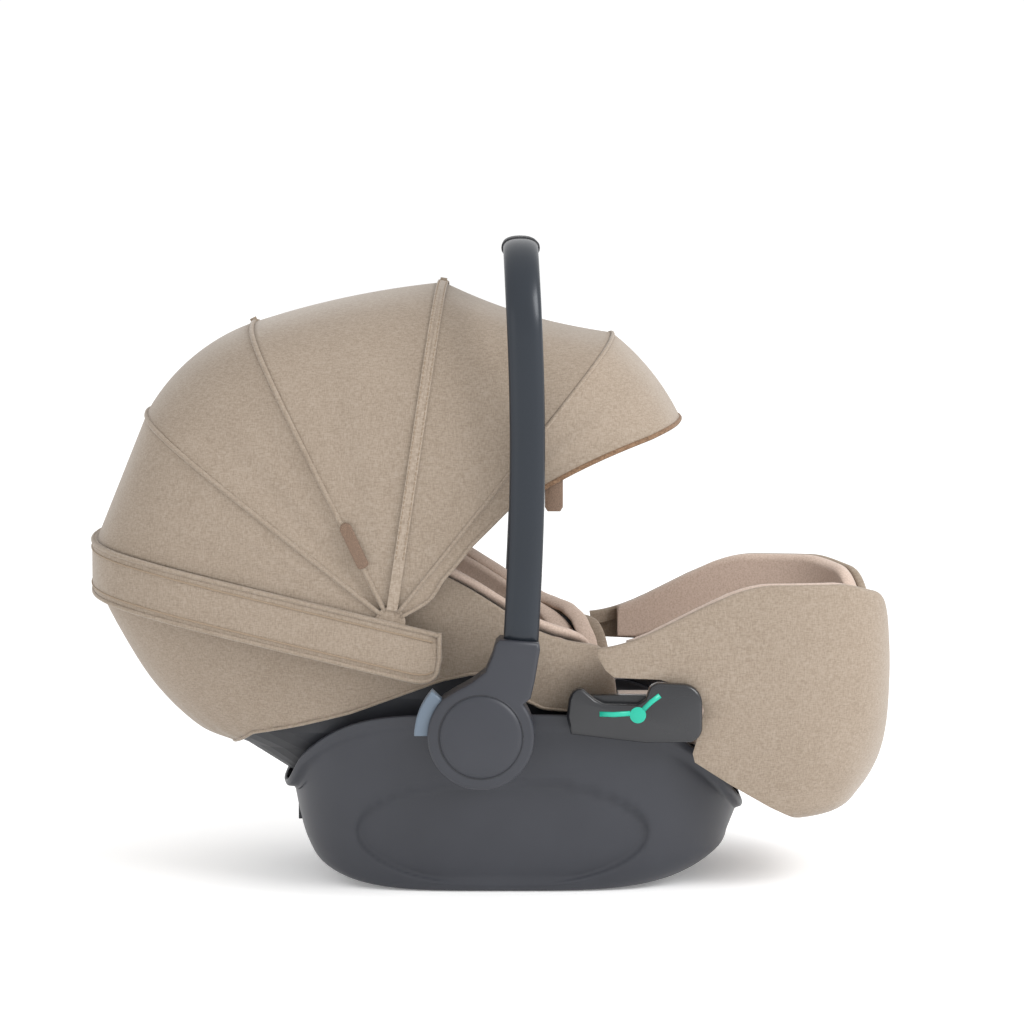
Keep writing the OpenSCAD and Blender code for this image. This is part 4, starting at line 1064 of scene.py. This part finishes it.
def leg_cover_place(u, v):
    theta = 2 * math.pi * u
    if v < 0.8:
        p = leg_point(theta, v / 0.8)
        # Loose cloth on the outside swells by up to 2 mm and ripples faintly.
        return p + Vector((0, math.copysign(1.5 * math.sin(math.pi * v / 0.8), p.y), 0)) * MM
    turn = min(1, (v - 0.8) / 0.12)
    p = leg_point(theta, 1, inset=3.5 - 3.5 * math.cos(math.pi * turn))
    p.z += (3.5 * math.sin(math.pi * turn) - 10 * max(0, (v - 0.92) / 0.08)) * MM
    return p


leg_cloth = skin("leg_cover_cloth", 260, 70, leg_cover_place, oatmeal)
thicken(leg_cloth, 2.4 * MM, -1.0)
cloth_cut = [(-50, 0), (345, 0), (325, 60), (288, 69), (265, 81), (228, 103), (196, 124), (194, 132),
             (199, 150), (204, 172), (201, 184), (192, 192), (164, 201), (122, 203), (114, 209),
             (107, 221), (104, 240), (100, 300), (-50, 300)]
carve(leg_cloth, cloth_cut, -200, 200)
soften(leg_cloth, 0.9 * MM, 60)
fit(leg_cloth, "leg_rest", "woven_fabric", "leg_cover")


def leg_pad_place(u, v):
    theta = 2 * math.pi * u
    if v < 0.08:
        return Vector((0.2, 0, 77.3 * MM)).lerp(leg_point(theta, 0, inset=7.3), v / 0.08)
    if v < 0.4:
        return leg_point(theta, (v - 0.08) / 0.32 * 0.97, inset=7.3)
    if v < 0.52:
        turn = (v - 0.4) / 0.12
        a, b = leg_point(theta, 0.97, inset=7.3), leg_point(theta, 0.97, LEG_IN)
        p = a.lerp(b, (1 - math.cos(math.pi * turn)) / 2)
        p.z += 7 * math.sin(math.pi * turn) * MM
        return p
    t = (v - 0.52) / 0.48
    if t < 0.6:
        p = leg_point(theta, (1 - t / 0.6) * 0.97, LEG_IN)
    else:
        p = leg_point(theta, 0, LEG_IN).lerp(Vector((0.21, 0, 130 * MM)), (t - 0.6) / 0.4)
    x, y = p.x / MM, p.y / MM
    # The floor rises over the rim of the base, towards the hinge.
    p.z = max(p.z, lerp(153, 130, ease(185, 245, x)) * MM)
    # Two sewn channels run across the floor, and one along each side wall.
    flat = 1 - ease(156, 172, p.z / MM)
    for line in (195, 262):
        p.z -= 3.5 * math.exp(-((x - line) / 5) ** 2) * flat * MM
    wall = math.exp(-((p.z / MM - 205) / 4) ** 2) * ease(150, 180, x)
    p.y += math.copysign(3 * wall, y) * MM
    return p


leg_pad = skin("leg_pad_knit", 200, 150, leg_pad_place, knit)
carve(leg_pad, [(-50, 0), (382, 0), (292, 90), (230, 118), (200, 136), (133, 146), (133, 300),
                (-50, 300)], -200, 200)
for y0, y1 in ((-200, -131), (131, 200)):
    carve(leg_pad, [(90, 100), (204, 100), (206, 190), (190, 204), (100, 206), (90, 206)], y0, y1)
fit(leg_pad, "leg_rest", "knit_pad", "leg_pad")

# ---- Harness -------------------------------------------------------------------------
# Five-point harness of 25 mm polyester webbing, with knit pads over the shoulder straps,
# steel tongues in a black buckle with a red button, and a pad under the buckle.
web_grey, tree, surface = new_material("grey polyester webbing", Roughness=0.75, Sheen_Weight=0.15)
place = add_node(tree, "UVMap").outputs["UV"]
# Webbing is woven in ribs 1.3 mm apart along the strap.
ribs = add_node(tree, "TexWave", {"Vector": place, "Scale": 12.0, "Distortion": 1.5, "Detail": 2.0},
                wave_type="BANDS", bands_direction="Y")
tint = add_node(tree, "ValToRGB", {"Fac": ribs.outputs["Fac"]}, stops=("#3E3C39", "#5E5B56"))
bump = add_node(tree, "Bump", {"Height": ribs.outputs["Fac"], "Strength": 0.5, "Distance": 0.3 * MM})
link_up(tree, surface, tint, bump)


def ribbon(name, route, y, wide, thick, material, body, replaced, slot, steps=60):
    """A flat strap along a side route, wide across Y."""
    piece = skin(name, 8, steps, lambda u, v: Vector((along(route, v)[0], y + (u - 0.5) * wide,
                                                      along(route, v)[1])) * MM, material)
    thicken(piece, thick * MM, 0, 0.3 * MM)
    return fit(piece, body, slot, replaced)


LIE_Z, BUCKLE_X, STRAP_Y, WEB_W = 163.5, 34, 42, 25
BUCKLE_Z = LIE_Z + 28
route = [(x, LIE_Z + z + 0.8) for x, z in ((-107, 40), (-98, 44), (-60, 43), (-24, 39), (0, 33))]
for side, label in ((-1, "near"), (1, "far")):
    ribbon("shoulder_strap_" + label, route, side * STRAP_Y, WEB_W, 1.6, web_grey, "backrest",
           "shoulder_straps", "webbing")

    def pad_place(u, v, side=side):
        x, z = along(route, lerp(0.16, 0.76, v))
        turn = 2 * math.pi * u
        c, s = math.cos(turn), math.sin(turn)
        close = math.sqrt(max(0.0, 1 - max(0, abs(2 * v - 1) - 0.86) ** 2 / 0.0196))
        return Vector((x, side * STRAP_Y + 23 * close * math.copysign(abs(c) ** 0.6, c),
                       z + (6.8 * close * math.copysign(abs(s) ** 0.75, s) if close else 0))) * MM
    pad = puff(skin("chest_pad_" + label, 48, 48, pad_place, knit), 4, voxel_mm=3.0)
    fit(pad, "backrest", "knit_pad", "chest_pads")

# Steel tongues: a hook plate in the buckle and a slotted bar for the strap.
dress(["buckle_tongues"], steel)
crotch_route = [(BUCKLE_X + 20, BUCKLE_Z - 4.5), (BUCKLE_X + 28, BUCKLE_Z - 6),
                (BUCKLE_X + 34.5, BUCKLE_Z - 12), (BUCKLE_X + 36.5, LIE_Z + 1)]
ribbon("crotch_webbing", crotch_route, 0, 28, 2.2, web_grey, "backrest", "crotch_strap", "webbing", 30)
ribbon("adjuster_webbing", [(BUCKLE_X + dx, LIE_Z + 1.3) for dx in (51, 55, 59)], 0, WEB_W, 1.6, web_grey,
       "backrest", "adjuster_strap", "webbing", 10)


def crotch_pad_place(u, v):
    turn = 2 * math.pi * u
    c, s = math.cos(turn), math.sin(turn)
    grow = math.sqrt(max(0, 1 - (2 * v - 1) ** 6))
    x = lerp(BUCKLE_X - 18, BUCKLE_X + 27, (1 + math.copysign(abs(c) ** 0.6, c) * grow) / 2)
    y = 23 * grow * math.copysign(abs(s) ** 0.6, s)
    return Vector((x, y, lerp(LIE_Z + 1, BUCKLE_Z - 10.5, v))) * MM


crotch_pad = puff(skin("buckle_pad", 48, 24, crotch_pad_place, knit), 4, voxel_mm=3.0)
fit(crotch_pad, "backrest", "knit_pad", "crotch_pad")


def rounded_block(name, low, high, round_by, material, body, replaced, slot):
    bm = bmesh.new()
    bmesh.ops.create_cube(bm, size=1.0)
    for vert in bm.verts:
        vert.co = Vector([lerp(a, b, c + 0.5) for a, b, c in zip(low, high, vert.co)]) * MM
    bmesh.ops.bevel(bm, geom=bm.edges[:], offset=round_by * MM, offset_type="OFFSET", segments=4,
                    profile=0.5, affect="EDGES", clamp_overlap=True, material=-1)
    piece = finish_mesh(name, bm, material)
    return fit(piece, body, slot, replaced)


red_gloss = moulded("red gloss ABS", "#B3261C", 0.25, 3.0, 0.01, "#C23A2E", coat=0.4)
buckle = rounded_block("buckle_case", (BUCKLE_X - 24, -21, BUCKLE_Z - 9),
                       (BUCKLE_X + 22, 21, BUCKLE_Z + 9), 4.5, black_plastic, "backrest", "buckle_body",
                       "black_plastic")
carve(buckle, [(BUCKLE_X - 8, BUCKLE_Z - 1), (BUCKLE_X + 14, BUCKLE_Z - 1), (BUCKLE_X + 14, BUCKLE_Z + 12),
               (BUCKLE_X - 8, BUCKLE_Z + 12)], -12, 12)
rounded_block("buckle_release", (BUCKLE_X - 7.5, -11.5, BUCKLE_Z + 5),
              (BUCKLE_X + 13.5, 11.5, BUCKLE_Z + 11), 1.8, red_gloss, "buckle_button", "buckle_button",
              "red_button")

bpy.context.view_layer.update()
